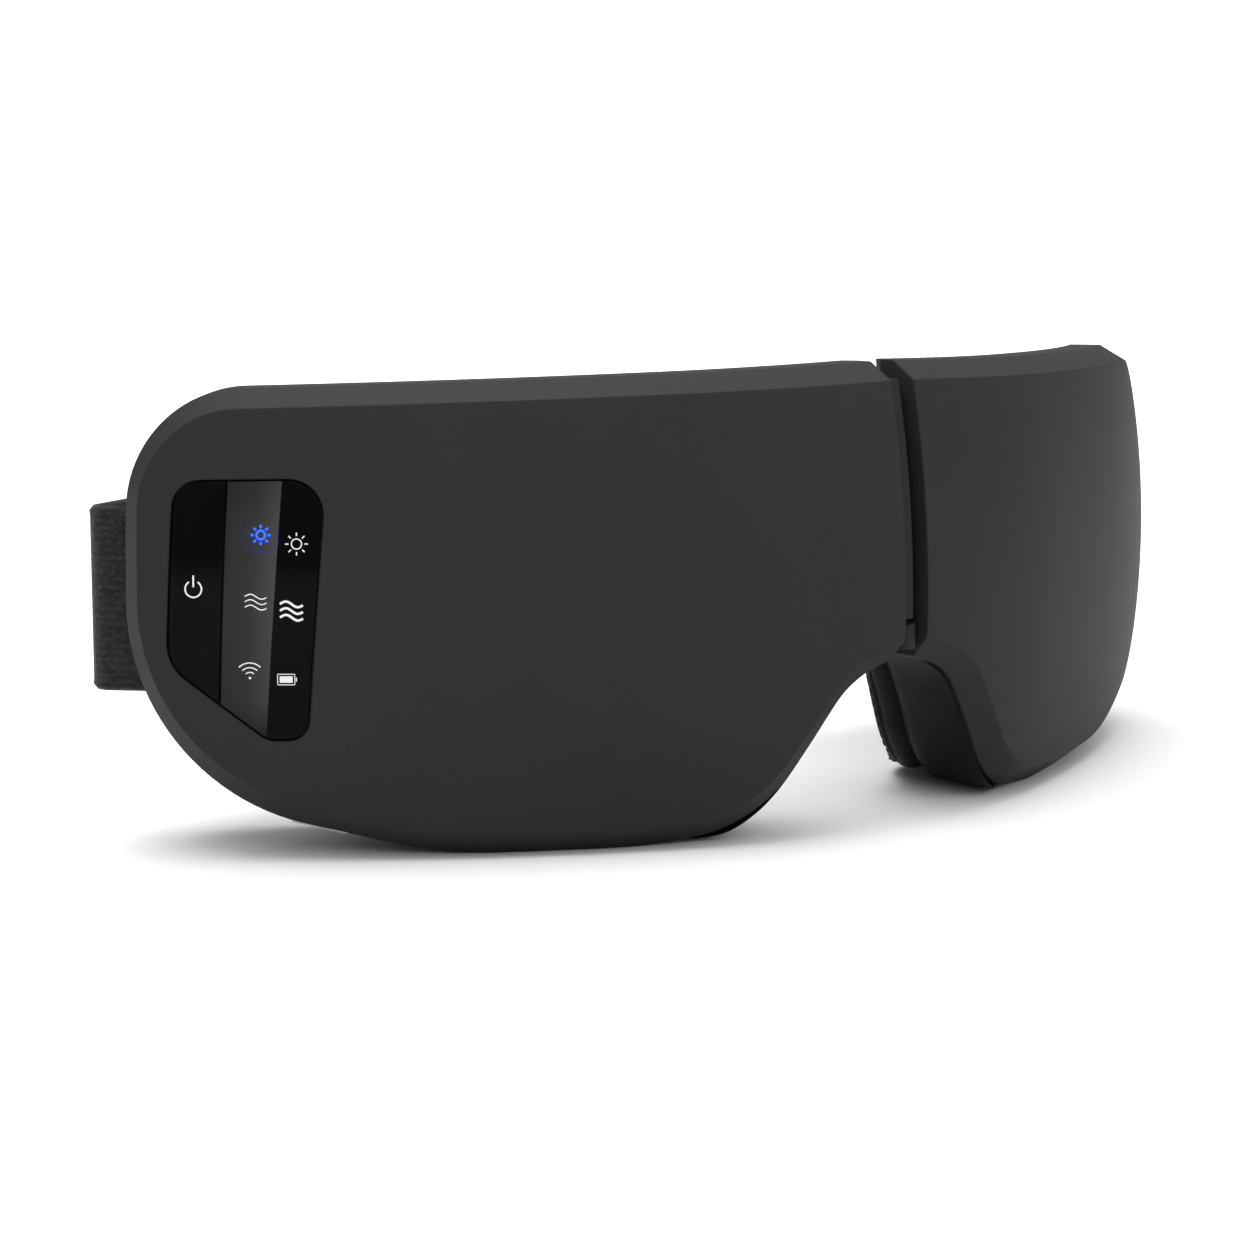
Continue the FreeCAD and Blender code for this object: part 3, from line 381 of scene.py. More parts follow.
def moulded(name, level, roughness=0.6, specular=0.13, edge=0.0005):
    """Matt moulded plastic: fine spark texture, faint cloudiness and softened edges."""
    n = Nodes(name, tone(level, level, level + 1), roughness, specular=specular)
    n.soften(edge)
    cloud = n.noise(28.0, 4.0, 0.55)
    fleck = n.noise(5200.0, 2.0, 0.6)
    base = grey(level)
    mixed = n.math("ADD", n.math("MULTIPLY", cloud, 0.7), n.math("MULTIPLY", fleck, 0.3))
    n.colour(n.ramp(mixed, [(0.25, tuple(base * k for k in (0.86, 0.86, 0.875))),
                            (0.75, tuple(base * k for k in (1.13, 1.13, 1.15)))]))
    n.rough(mixed, roughness - 0.05, roughness + 0.06)
    n.bump(fleck, 0.00004, 0.55)
    return n.material


def metal(name, colour, roughness, direction=(0, 0, 1)):
    """Turned or drawn metal with fine lines across one direction and faint smudges."""
    n = Nodes(name, colour, roughness, metallic=1.0)
    n.soften(0.00012)
    lines = n.add("ShaderNodeMapping")
    n.link(n.position, lines.inputs["Vector"])
    lines.inputs["Scale"].default_value = tuple(9000.0 if d else 300.0 for d in direction)
    scratch = n.noise(1.0, 2.0, 0.6, lines.outputs["Vector"])
    smudge = n.noise(350.0, 3.0)
    dark = tuple(c * 0.72 for c in colour)
    n.colour(n.mix(n.ramp(smudge, [(0.35, 0.0), (0.7, 1.0)]), colour, dark))
    n.rough(scratch, roughness - 0.08, roughness + 0.14)
    n.bump(scratch, 0.00001, 0.5)
    return n.material


def leather(name, level, grain=1500.0, depth=0.00006):
    """Soft synthetic leather: pebbled grain and shallow creases, with painted shade in the
    crevices between pebbles and lighter pebble tops.
    """
    n = Nodes(name, tone(level, level, level), 0.58, specular=0.07)
    warp = n.noise(220.0, 3.0, 0.6)
    pebbles = n.cells(grain, "DISTANCE_TO_EDGE")
    grainy = n.ramp(pebbles, [(0.0, 0.0), (0.22, 1.0)])
    stretch = n.add("ShaderNodeMapping")
    n.link(n.position, stretch.inputs["Vector"])
    stretch.inputs["Scale"].default_value = (95.0, 95.0, 260.0)
    crease = n.noise(1.0, 5.0, 0.62, stretch.outputs["Vector"])
    crease = n.math("ABSOLUTE", n.math("SUBTRACT", crease, 0.5))
    crease = n.ramp(crease, [(0.0, 0.0), (0.045, 1.0)])
    base = grey(level)
    # Random cloudy tone, plus painted shade in the crevices between pebbles and lighter pebble
    # tops.
    cloud_and_crevice_shade = n.math("ADD", n.math("MULTIPLY", warp, 0.6), n.math("MULTIPLY", grainy, 0.4))
    n.colour(n.ramp(cloud_and_crevice_shade, [(0.2, base * 0.55), (0.85, base * 1.55)]))
    n.rough(cloud_and_crevice_shade, 0.62, 0.46)
    height = n.math("ADD", n.math("MULTIPLY", grainy, 0.55), n.math("MULTIPLY", crease, 0.8))
    n.bump(height, depth, 0.6)
    n.set("Sheen Weight", 0.01)
    n.set("Sheen Roughness", 0.4)
    return n.material


def knit(name, level, pitch):
    """Elastic crepe knit: small raised knots in staggered rows, with stray fuzz."""
    n = Nodes(name, tone(level, level, level), 0.85, specular=0.15)
    warp = n.add("ShaderNodeVectorMath", operation="MULTIPLY_ADD")
    sway = n.add("ShaderNodeTexNoise")
    sway.inputs["Scale"].default_value = 700.0
    n.link(n.position, sway.inputs["Vector"])
    n.link(sway.outputs["Color"], warp.inputs[0])
    warp.inputs[1].default_value = (pitch * 0.9, pitch * 0.9, pitch * 0.9)
    n.link(n.position, warp.inputs[2])
    stretch = n.add("ShaderNodeMapping")
    n.link(warp.outputs["Vector"], stretch.inputs["Vector"])
    stretch.inputs["Rotation"].default_value = (0.0, 0.5, 0.6)
    stretch.inputs["Scale"].default_value = (1.0, 1.0, 1.7)
    knots = n.cells(1.0 / pitch, "SMOOTH_F1", stretch.outputs["Vector"])
    split = n.add("ShaderNodeSeparateXYZ")
    n.link(n.position, split.inputs[0])
    rows = n.math("SINE", n.math("MULTIPLY", split.outputs["Z"], 2 * math.pi / (pitch * 1.25)))
    height = n.math("SUBTRACT", 1.0, n.math("MULTIPLY", knots, 1.5), clamp=True)
    height = n.math("ADD", n.math("MULTIPLY", height, 0.75), n.math("MULTIPLY", rows, 0.1))
    height = n.math("ADD", height, n.math("MULTIPLY", n.noise(4200.0, 3.0), 0.3))
    base = grey(level)
    # Colour follows the knit's height: painted shade in the gaps between knots and rows, and
    # lighter knot tops.
    n.colour(n.ramp(height, [(0.1, base * 0.45), (0.6, base), (1.0, base * 1.9)]))
    n.bump(height, 0.00016, 0.8)
    n.set("Sheen Weight", 0.15)
    n.set("Sheen Roughness", 0.5)
    return n.material


def gloss(name, level, roughness=0.08):
    """Polished acrylic with very faint wipe marks."""
    n = Nodes(name, tone(level, level, level + 1), roughness, specular=0.035)
    n.soften(0.0003)
    wipes = n.noise(160.0, 4.0, 0.6)
    n.rough(wipes, roughness * 0.7, roughness * 1.6)
    n.colour(n.ramp(wipes, [(0.3, grey(level) * 0.85), (0.7, grey(level) * 1.15)]))
    return n.material


def window_with_painted_reflection():
    """Window: clear gloss black, and beside the button, past a crisp edge, a lighter band that is
    a painted reflection, brightest at the edge and darker at its bottom and top.
    """
    n = Nodes("window_painted_reflection", tone(14, 14, 15), 0.07, specular=0.035)
    n.soften(0.0003)
    top = place(-1, 107.6, 0.12, 61.7)
    low = place(-1, 110.7, 0.12, 20.0)
    behind = place(-1, 109.0, 3.0, 41.0) - place(-1, 109.0, 0.12, 41.0)
    across = (top - low).cross(behind).normalized()
    if across.dot(place(-1, 118, 0.12, 41.0) - low) < 0:
        across.negate()
    shift = n.math("SUBTRACT", n.dot(across), low.dot(across))
    # Painted reflection: the lighter band lies on the button's side of this crisp edge.
    in_painted_reflection = n.ramp(n.math("MULTIPLY", n.math("ADD", shift, 0.00005), 10000.0, clamp=True),
                     [(0.0, 0.0), (1.0, 1.0)])
    # The painted reflection is brightest at its edge and dims towards the button.
    reflection_shading = n.ramp(n.math("MULTIPLY", shift, 100.0, clamp=True),
                  [(0.0, grey(66)), (0.35, grey(50)), (1.0, grey(38))])
    height = n.add("ShaderNodeSeparateXYZ")
    n.link(n.position, height.inputs[0])
    # The painted reflection also dims towards its bottom and top.
    rise = n.math("DIVIDE", n.math("SUBTRACT", height.outputs["Z"], 0.020), 0.0417, clamp=True)
    reflection_shading = n.mix(n.ramp(rise, [(0.0, 0.0), (0.16, 0.75), (0.8, 1.0), (1.0, 0.55)]),
                 tone(22, 22, 23), reflection_shading)
    n.colour(n.mix(in_painted_reflection, tone(8, 8, 9), reflection_shading))
    n.rough(n.noise(160.0, 4.0, 0.6), 0.05, 0.12)
    return n.material


def printed(name, colour, strength):
    """Backlit print: nearly even, a little grain in it."""
    n = Nodes(name, colour, 0.4, specular=0.2)
    grain = n.noise(4000.0, 2.0)
    n.colour(n.mix(n.math("MULTIPLY", grain, 0.25), colour, tuple(c * 0.7 for c in colour)))
    n.set("Emission Color", (*colour, 1.0))
    n.set("Emission Strength", strength)
    return n.material


def circuit_board(name):
    """Solder mask with traces and pads that show faintly under it."""
    n = Nodes(name, tone(18, 74, 48), 0.35)
    cells = n.add("ShaderNodeTexBrick")
    n.link(n.position, cells.inputs["Vector"])
    cells.inputs["Scale"].default_value = 420.0
    cells.inputs["Mortar Size"].default_value = 0.06
    traces = n.ramp(cells.outputs["Fac"], [(0.4, 0.0), (0.6, 1.0)])
    n.colour(n.mix(traces, tone(16, 66, 42), tone(40, 110, 66)))
    n.rough(n.noise(700.0), 0.28, 0.42)
    n.bump(traces, 0.00003, 0.5)
    return n.material


def plain_finish(name, colour, roughness, scale=900.0, spread=0.18, bump=0.00003, metallic=0.0,
                 sheen=0.0):
    """Simple grained finish for the works."""
    n = Nodes(name, colour, roughness, metallic=metallic)
    n.soften(0.0002)
    grain = n.noise(scale, 4.0, 0.6)
    n.colour(n.ramp(grain, [(0.3, tuple(c * (1 - spread) for c in colour)),
                            (0.7, tuple(min(1, c * (1 + spread)) for c in colour))]))
    n.rough(grain, max(roughness - 0.06, 0.02), min(roughness + 0.08, 1.0))
    n.bump(grain, bump, 0.5)
    if sheen:
        n.set("Sheen Weight", sheen)
    return n.material


def quilted(name, level):
    """Brushed liner cloth with soft ribs."""
    n = Nodes(name, tone(level, level, level + 2), 0.9, specular=0.15)
    split = n.add("ShaderNodeSeparateXYZ")
    n.link(n.position, split.inputs[0])
    weft = n.math("SINE", n.math("MULTIPLY", split.outputs["Z"], 2 * math.pi / 0.00055))
    warp = n.math("SINE", n.math("MULTIPLY", split.outputs["X"], 2 * math.pi / 0.00055))
    height = n.math("ADD", n.math("MULTIPLY", n.math("MULTIPLY", weft, warp), 0.3),
                    n.math("MULTIPLY", n.noise(1800.0, 4.0, 0.7), 0.9))
    base = grey(level)
    # Colour follows the cloth's height: random fibre tone from the noise, and painted shade in the
    # low parts of the weave.
    n.colour(n.ramp(height, [(0.1, base * 0.6), (0.9, base * 1.5)]))
    n.bump(height, 0.00012, 0.7)
    n.set("Sheen Weight", 0.35)
    return n.material


SHELL = moulded("shell_matt", 37)
TRIM = moulded("trim_matt", 34)
BUTTON = gloss("button_gloss", 9)
WINDOW = window_with_painted_reflection()
WHITE_PRINT = printed("print_white", tone(206, 208, 210), 0.22)
BLUE_PRINT = printed("print_blue", tone(22, 66, 255), 3.2)
SKIN = leather("cushion_skin", 13)
SKIN_SIDE = leather("cushion_side_skin", 12, 1700.0, 0.00003)
THREAD = plain_finish("seam_thread", tone(18, 18, 19), 0.7, 5000.0, 0.3, 0.00003)
BAND = knit("strap_knit", 38, 0.00095)
LINER = quilted("liner_cloth", 40)
PILE = plain_finish("tape_base", tone(20, 20, 21), 0.9, 2400.0, 0.5, 0.00015, sheen=0.4)
STEEL = metal("steel_turned", tone(176, 178, 182), 0.3)
FRAME = plain_finish("frame_nylon", tone(38, 38, 40), 0.6)
BOARD = circuit_board("solder_mask")
BATTERY = plain_finish("battery_wrap", tone(52, 96, 142), 0.4, 260.0, 0.1)
LAMPS = plain_finish("lamp_lens", tone(226, 230, 214), 0.25, 1200.0, 0.08)
BAG = plain_finish("airbag_film", tone(96, 98, 102), 0.3, 180.0, 0.2, 0.0002)
FILM = plain_finish("heater_film", tone(176, 104, 44), 0.35, 420.0, 0.25, 0.00004)
HOSE = plain_finish("hose_silicone", tone(206, 206, 200), 0.45, 700.0, 0.06)
COMPONENT = plain_finish("component_case", tone(60, 62, 66), 0.45, 800.0, 0.15)

BY_SLOT = {"shell": SHELL, "trim": TRIM, "frame": FRAME, "steel": STEEL, "window": WINDOW,
           "button": BUTTON, "board": BOARD, "battery": BATTERY, "light": LAMPS, "bag": BAG,
           "film": FILM, "hose": HOSE, "component": COMPONENT, "cushion": SKIN, "liner": LINER,
           "webbing": BAND, "hook_tape": PILE}


def finish_cad_nodes():
    """Gives every carried-over node the procedural material of its slot."""
    for item in frame["record"]["subparts"]:
        for holder in frame["nodes"][item["node"]].material_slots:
            holder.material = BY_SLOT[item["material_slot"]]


# ---------------------------------------------------------------- panel prints

def panel_point(s, z, depth=0.09):
    return place(-1, s, depth, z)


def ribbon(points, width, closed=False):
    """Flat stroke along 2D points: a strip of quads with square ends."""
    points = [np.array(p, float) for p in points]
    count = len(points)
    strip = []
    for i, p in enumerate(points):
        before = points[i - 1] if closed or i else p
        after = points[(i + 1) % count] if closed or i < count - 1 else p
        run = after - before
        run = run / (np.linalg.norm(run) or 1)
        across = np.array([-run[1], run[0]]) * width / 2
        strip += [p + across, p - across]
    faces = [(2 * i, 2 * i + 1, 2 * ((i + 1) % count) + 1, 2 * ((i + 1) % count))
             for i in range(count if closed else count - 1)]
    return strip, faces


def disc(centre, radius, sides=20):
    ring = [np.array(centre) + radius * np.array([math.cos(2 * math.pi * k / sides),
                                                  math.sin(2 * math.pi * k / sides)])
            for k in range(sides)]
    return ring, [tuple(range(sides))]


def arc_points(centre, radius, start, end, steps=24):
    return [(centre[0] + radius * math.cos(math.radians(start + (end - start) * k / steps)),
             centre[1] + radius * math.sin(math.radians(start + (end - start) * k / steps)))
            for k in range(steps + 1)]


def print_on_panel(name, centre, strokes, body, material, lean=0.0):
    """Thin raised print from 2D strokes; x runs to the viewer's right, towards the nose."""
    vertices, faces = [], []
    for strip, flats in strokes:
        top = []
        for x, y in strip:
            x_lean = x + y * lean
            top.append((centre[0] - x_lean, centre[1] + y))
        start = len(vertices)
        count = len(top)
        vertices += [panel_point(s, z, 0.07) for s, z in top]
        vertices += [panel_point(s, z, 0.115) for s, z in top]
        edges = {}
        for face in flats:
            faces.append(tuple(start + i for i in face))
            faces.append(tuple(start + count + i for i in reversed(face)))
            for a, b in zip(face, face[1:] + face[:1]):
                edges[(a, b)] = edges.get((b, a), 0) == 0
        for a, b in edges:
            if (b, a) not in edges:
                faces.append((start + b, start + a, start + count + a, start + count + b))
    return new_piece(name, vertices, faces, body, material, smooth=False)


def sun_strokes(radius, ray_start, ray_end, width):
    strokes = [ribbon(arc_points((0, 0), radius, 0, 345, 23), width, closed=True)]
    for k in range(8):
        c, d = math.cos(math.pi * k / 4), math.sin(math.pi * k / 4)
        strokes.append(ribbon([(c * ray_start, d * ray_start), (c * ray_end, d * ray_end)],
                              width * 1.05))
    return strokes


def wave_strokes(width, length, gap, rise):
    strokes = []
    for row in (-1, 0, 1):
        points = []
        for k in range(25):
            t = k / 24
            points.append(((t - 0.5) * length,
                           row * gap + rise * math.sin((t - 0.02) * 2 * math.pi)
                           - (t - 0.5) * rise * 0.5))
        strokes.append(ribbon(points, width))
    return strokes


def glow_halo():
    """Light that bleeds through the window round the lit print, brightest at its middle."""
    n = Nodes("print_glow", (0.0, 0.0, 0.0), 0.1, specular=0.0)
    centre = panel_point(111.0, 52.9)
    offset = n.add("ShaderNodeVectorMath", operation="DISTANCE")
    n.link(n.position, offset.inputs[0])
    offset.inputs[1].default_value = tuple(centre)
    near = n.ramp(n.math("MULTIPLY", offset.outputs["Value"], 1 / 0.0034, clamp=True),
                  [(0.0, 0.75), (0.35, 0.34), (0.7, 0.07), (1.0, 0.0)])
    n.link(near, n.shader.inputs["Alpha"])
    n.set("Emission Color", (0.01, 0.05, 1.0, 1.0))
    n.set("Emission Strength", 0.85)
    strip, faces = disc((0, 0), 3.4, 48)
    vertices = [panel_point(111.0 - x, 52.9 + y, 0.095) for x, y in strip]
    return new_piece("warm_low_glow", vertices, faces, "left_half", n.material,
                     smooth=False)


def make_prints():
    glow_halo()
    power = [ribbon(arc_points((0, -0.4), 1.3, 122, 418, 30), 0.24),
             ribbon([(0, -0.1), (0, 1.75)], 0.26)]
    print_on_panel("power_print", (121.7, 44.8), power, "power_button", WHITE_PRINT)
    print_on_panel("warm_low_print", (111.0, 52.9), sun_strokes(0.68, 1.1, 1.55, 0.3),
                   "left_half", BLUE_PRINT)
    print_on_panel("warm_high_print", (105.4, 51.5), sun_strokes(0.8, 1.25, 1.78, 0.18),
                   "left_half", WHITE_PRINT)
    print_on_panel("pulse_low_print", (111.9, 42.4), wave_strokes(0.17, 3.4, 0.85, 0.34),
                   "left_half", WHITE_PRINT)
    print_on_panel("pulse_high_print", (106.3, 41.0), wave_strokes(0.36, 3.6, 1.05, 0.4),
                   "left_half", WHITE_PRINT)
    arcs = [disc((0, -1.35), 0.2)]
    arcs += [ribbon(arc_points((0, -1.35), radius, 45, 135, 16), 0.18)
             for radius in (0.9, 1.65, 2.4)]
    print_on_panel("wireless_print", (113.0, 31.7), arcs, "left_half", WHITE_PRINT)
    box = [(-1.45, -0.85), (1.25, -0.85), (1.25, 0.85), (-1.45, 0.85)]
    loop = []
    for (x0, y0), (x1, y1) in zip(box, box[1:] + box[:1]):
        loop += [(x0 + (x1 - x0) * k / 6, y0 + (y1 - y0) * k / 6) for k in range(6)]
    fill = ribbon([(-1.12, 0), (0.92, 0)], 1.05)
    nub = ribbon([(1.4, 0), (1.58, 0)], 0.6)
    print_on_panel("battery_print", (107.2, 30.1), [ribbon(loop, 0.13, closed=True), fill, nub],
                   "left_half", WHITE_PRINT)


# ---------------------------------------------------------------- cushions

LOOP = 300


def cushion_limits(loop, depth):
    """How near the middle each point of a loop may come at one depth."""
    return np.array([inward_limit(depth, z) for z in loop[:, 1]])


def cushion_loops(side_inset, top_inset, foot_inset, depth, rounds=6):
    """Outer outline of a cushion at one depth, kept clear of the fold wedge, and rounded."""
    points = outline(HOUSING, housing_insets(side_inset, top_inset, foot_inset))
    points[:, 0] = np.maximum(points[:, 0], cushion_limits(points, depth))
    return smooth_loop(resample(points, LOOP), rounds)


def ease(value, start, end):
    """Smooth step from 0 to 1 between start and end."""
    share = np.clip((value - start) / (end - start), 0.0, 1.0)
    return share * share * (3 - 2 * share)


def arch_share(loop):
    """1 beside the nose arch, fading to 0 along the foot and above the arch."""
    return (1 - ease(loop[:, 0], 32.0, 50.0)) * (1 - ease(loop[:, 1], 33.0, 38.0))


def pushed(loop, amount):
    """Moves a loop outwards along its own normals, kept above the floor."""
    run = np.roll(loop, -1, 0) - np.roll(loop, 1, 0)
    run /= np.linalg.norm(run, axis=1)[:, None]
    out = loop + np.column_stack([run[:, 1], -run[:, 0]]) * np.reshape(amount, (-1, 1))
    out[:, 1] = np.maximum(out[:, 1], 0.08)
    return out


def ring_cushion(name, side, sections, material, replaced, ripple=0.0, seed=1):
    """Closed ring lofted through sections, each a closed loop of (s, z) and its depths."""
    rng = np.random.default_rng(seed)
    phases = rng.uniform(0, 2 * math.pi, 12)
    rows = []
    for loop, depth, puff in sections:
        depths = np.broadcast_to(depth, len(loop))
        row = []
        for k, (s, z) in enumerate(loop):
            share = 2 * math.pi * k / len(loop)
            wave = sum(math.sin(share * (9 + 5 * j) + phases[j]) / (j + 1.5) for j in range(6))
            row.append(place(side, s, float(depths[k]) + ripple * puff * wave, z))
        rows.append(row)
    vertices = [v for row in rows for v in row]
    faces = grid_faces(len(rows), len(rows[0]), True, True, flip=side > 0)
    piece = new_piece(name, vertices, faces, None, material)
    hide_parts(*replaced)
    return piece


def blend_loops(outer, inner, share):
    """Moves from one loop to another, point by point."""
    return outer * (1 - share) + inner * share


HALF_LENGTH = 133.6
SIDE_FRONT, SIDE_REAR = 10.1, 21.95
FACE_FRONT, FACE_REAR = 22.25, 31.9
NOSE_DROP = 3.4       # how much lower the cushions are beside the nose arch
SKIRT_REACH = 6.2     # how far the side pad comes forward over the housing in the arch
NOTCH_LOW, NOTCH_HIGH, NOTCH_REACH = 24.3, 57.7, 11.5   # room for the strap's clamp

# Side band of the face pad: how far behind its front, and how far it swells. The dip is the seam.
FACE_BAND = ((0.35, -0.25), (1.4, 0.3), (2.8, 0.5), (4.2, 0.45), (5.4, 0.15), (5.95, -0.25),
             (6.25, -0.45), (6.55, -0.25), (7.1, -0.25), (8.0, -0.75))
# Rear panel of the face pad: share of the way to the eye opening, drop from the crown, ripple.
FACE_CROWN = ((0.05, 0.95, 0.4), (0.11, 0.5, 0.9), (0.2, 0.18, 1.0), (0.32, 0.02, 1.0),
              (0.46, 0.0, 1.0), (0.6, 0.06, 1.0), (0.74, 0.36, 0.9), (0.86, 1.0, 0.7),
              (0.94, 1.9, 0.4), (0.985, 3.0, 0.2), (1.0, 4.4, 0.0))
# Side pad: share of the way from its front to its rear, and how far it swells.
SIDE_BELLY = ((0.04, 0.0), (0.12, 0.1), (0.3, 0.18), (0.5, 0.2), (0.7, 0.15), (0.86, 0.0),
              (0.95, -0.25), (1.0, -0.8))


def face_cushion(side):
    """Crowned face ring: side band, sewn seam, puffed rear panel and a drop into the eye well."""
    label = "right" if side > 0 else "left"
    low, high = FACE_FRONT, FACE_REAR
    rim = cushion_loops(2.6, 4.8, 1.2, low + 3)
    drop = NOSE_DROP * arch_share(rim)
    inner = matched(resample(outline(EYE, -0.2), LOOP), rim)
    sections = [(blend_loops(pushed(rim, -0.6), inner, 0.16), low, 0.0),
                (pushed(rim, -0.8), low - drop, 0.0)]
    for rise, grow in FACE_BAND:
        shrink = 1 - 0.12 * arch_share(rim)
        lean = np.maximum(cushion_limits(rim, low + rise) - rim[:, 0], 0)
        loop = pushed(rim, grow) + np.column_stack([lean, np.zeros(len(rim))])
        sections.append((smooth_loop(loop, 2), low - drop + rise * shrink, 0.0))
    crest = sections[-1][0]
    for share, down, puff in FACE_CROWN:
        fall = (drop * 1.25 + 0.2) * (1 - share) ** 1.6
        sections.append((blend_loops(crest, inner, share), high - down - fall, puff))
    for depth, out in ((high - 6.0, 0.3), (high - 7.6, 0.25), (low + 0.8, -0.1), (low, -0.5)):
        sections.append((matched(resample(outline(EYE, -0.2 + out * 0.4), LOOP), rim), depth, 0.0))
    piece = ring_cushion(label + "_face_pad", side, sections, SKIN,
                         [label + "_face_cushion"], 0.09, 3)
    modify(piece, "SUBSURF", levels=1, render_levels=1)
    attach(piece, label + "_half")
    for row, name in ((6, "a"), (10, "b")):
        loop, depths, _ = sections[row + 1]
        outer = pushed(loop, 0.06)
        path = [place(side, s, float(d), z) for (s, z), d in zip(outer, depths)]
        stitch_line("%s_face_pad_stitches_%s" % (label, name), path + path[:1], 0.0017, 0.0008,
                    0.00013, None, THREAD, parent=piece)


def side_cushion(side):
    """Upholstered side wall: a skirt up to the bevel round the nose arch, then a soft belly."""
    label = "right" if side > 0 else "left"
    root, high = SIDE_FRONT, SIDE_REAR
    base = cushion_loops(1.2, 3.0, 0.05, root + 2, rounds=3)
    for point in base:
        above, below = point[1] - NOTCH_LOW, NOTCH_HIGH - point[1]
        if above > 0 and below > 0:
            point[0] = min(point[0], HALF_LENGTH - NOTCH_REACH * min(1.0, above, below))
    arch = arch_share(base)
    front = root - SKIRT_REACH * arch
    rear = high - NOSE_DROP * arch
    inner = matched(resample(outline(WELL, -0.25), LOOP), base)
    sections = [(blend_loops(pushed(base, -0.5), inner, 0.1), root, 0.0),
                (pushed(base, -0.5 + 1.8 * arch), root, 0.0),
                (pushed(base, -0.5 + 1.8 * arch), front + 0.1, 0.0),
                (pushed(base, -0.45 + 1.95 * arch), front, 0.0),
                (pushed(base, -0.3 + 2.05 * arch), front + 0.12, 0.0)]
    for share, grow in SIDE_BELLY:
        lean = np.maximum(cushion_limits(base, root + (high - root) * share) - base[:, 0], 0)
        loop = pushed(base, grow + 1.75 * arch * (1 - share) ** 0.8)
        loop = loop + np.column_stack([lean, np.zeros(len(base))])
        sections.append((loop, front + (rear - front) * share, 0.0))
    top = sections[-1][0]
    for share in (0.16, 0.5, 0.85):
        sections.append((blend_loops(top, inner, share), high, 0.0))
    for depth in (high - 0.3, (root + high) / 2, root + 0.3):
        sections.append((inner, depth, 0.0))
    piece = ring_cushion(label + "_side_pad", side, sections, SKIN_SIDE,
                         [label + "_cushion_wall"])
    modify(piece, "SUBSURF", levels=1, render_levels=1)
    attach(piece, label + "_half")


EYE_MIDDLE = (69.0, 41.0)
LINER_FRONT, LINER_REAR = 20.5, 21.55
QUILT_PITCH = 12.0


def eye_pad(side):
    """Quilted liner in the well: pillows between sewn channels, thin at its bound edge."""
    label = "right" if side > 0 else "left"
    edge = resample(outline(WELL, 0.3), 160)
    middle = np.array(EYE_MIDDLE)
    front, rear = LINER_FRONT, LINER_REAR
    rings = 26
    rows = []
    for sign, base_depth in ((1, rear), (-1, front)):
        for i in range(rings + 1):
            share = i / rings
            row = []
            for p in edge:
                q = middle + (p - middle) * (1 - share if sign > 0 else share)
                rim = min(1.0, (1 - np.linalg.norm(q - middle) / np.linalg.norm(p - middle)) * 9)
                channel = abs(math.sin(math.pi * (q[0] + q[1] * 0.6) / QUILT_PITCH)) * abs(
                    math.sin(math.pi * (q[0] - q[1] * 0.6) / QUILT_PITCH))
                puff = math.sqrt(max(rim, 0)) * (0.3 + 0.7 * channel ** 0.5)
                depth = base_depth - (1 - puff) * 0.75 if sign > 0 else base_depth
                row.append(place(side, q[0], depth, q[1]))
            rows.append(row)
    # rear rows run from the rim to the middle, front rows from the middle to the rim
    vertices = [v for row in rows for v in row]
    faces = grid_faces(len(rows), len(edge), True, True, flip=side < 0)
    piece = new_piece(label + "_eye_pad", vertices, faces, None, LINER)
    modify(piece, "WELD", merge_threshold=0.00002)
    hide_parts(label + "_eye_liner")
    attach(piece, label + "_half")


# ---------------------------------------------------------------- strap

PIVOT = (110.40, 28.51)
STRAP_LOW, STRAP_HIGH = 26.0, 56.0
STRAP_THICK, FOLD_RADIUS = 1.8, 1.65
BEND, TIP = (97.5, 38.8), (2.0, 41.8)
BEND_RADIUS = 8.0
TONGUE = 15.0                        # length of the clamped end
TONGUE_POINTS, ARC_POINTS = 12, 15
CALM_SHARE = 0.42                    # no slack before this share of the webbing


def strap_line():
    """Plan centre line of the right webbing: clamped tongue, fold, run and tip."""
    hub = np.array(PIVOT)
    heading = NOSE_TURN + (139.0 - NOSE_LENGTH) / SIDE_RADIUS
    along = np.array([math.cos(heading), math.sin(heading)])
    behind = np.array([-along[1], along[0]])
    middle = FOLD_RADIUS + STRAP_THICK / 2
    bend, tip = np.array(BEND), np.array(TIP)
    reach = np.linalg.norm(bend - hub)
    tilt = math.asin(middle / reach)
    run = (bend - hub) / reach
    run = np.array([run[0] * math.cos(tilt) - run[1] * math.sin(tilt),
                    run[0] * math.sin(tilt) + run[1] * math.cos(tilt)])
    outward = np.array([run[1], -run[0]])
    line = [hub - behind * middle - along * (TONGUE - k * TONGUE / TONGUE_POINTS)
            for k in range(TONGUE_POINTS)]
    first = math.atan2(-behind[1], -behind[0])
    last = math.atan2(outward[1], outward[0])
    while last < first:
        last += 2 * math.pi
    steps = [k / (ARC_POINTS - 1) for k in range(ARC_POINTS)]
    line += [hub + middle * np.array([math.cos(first + (last - first) * share),
                                      math.sin(first + (last - first) * share)])
             for share in steps]
    start = hub + outward * middle
    second = (tip - bend) / np.linalg.norm(tip - bend)
    angle = math.acos(float(run @ second))
    trim = BEND_RADIUS * math.tan(angle / 2)
    centre = bend - run * trim - outward * BEND_RADIUS
    line += [start + (bend - run * trim - start) * k / 8 for k in range(1, 8)]
    first = math.atan2(outward[1], outward[0])
    line += [centre + BEND_RADIUS * np.array([math.cos(first + angle * share),
                                              math.sin(first + angle * share)])
             for share in steps]
    beyond = bend + second * trim
    line += [beyond + (tip - beyond) * k / 60 for k in range(1, 61)]
    return np.array(line)


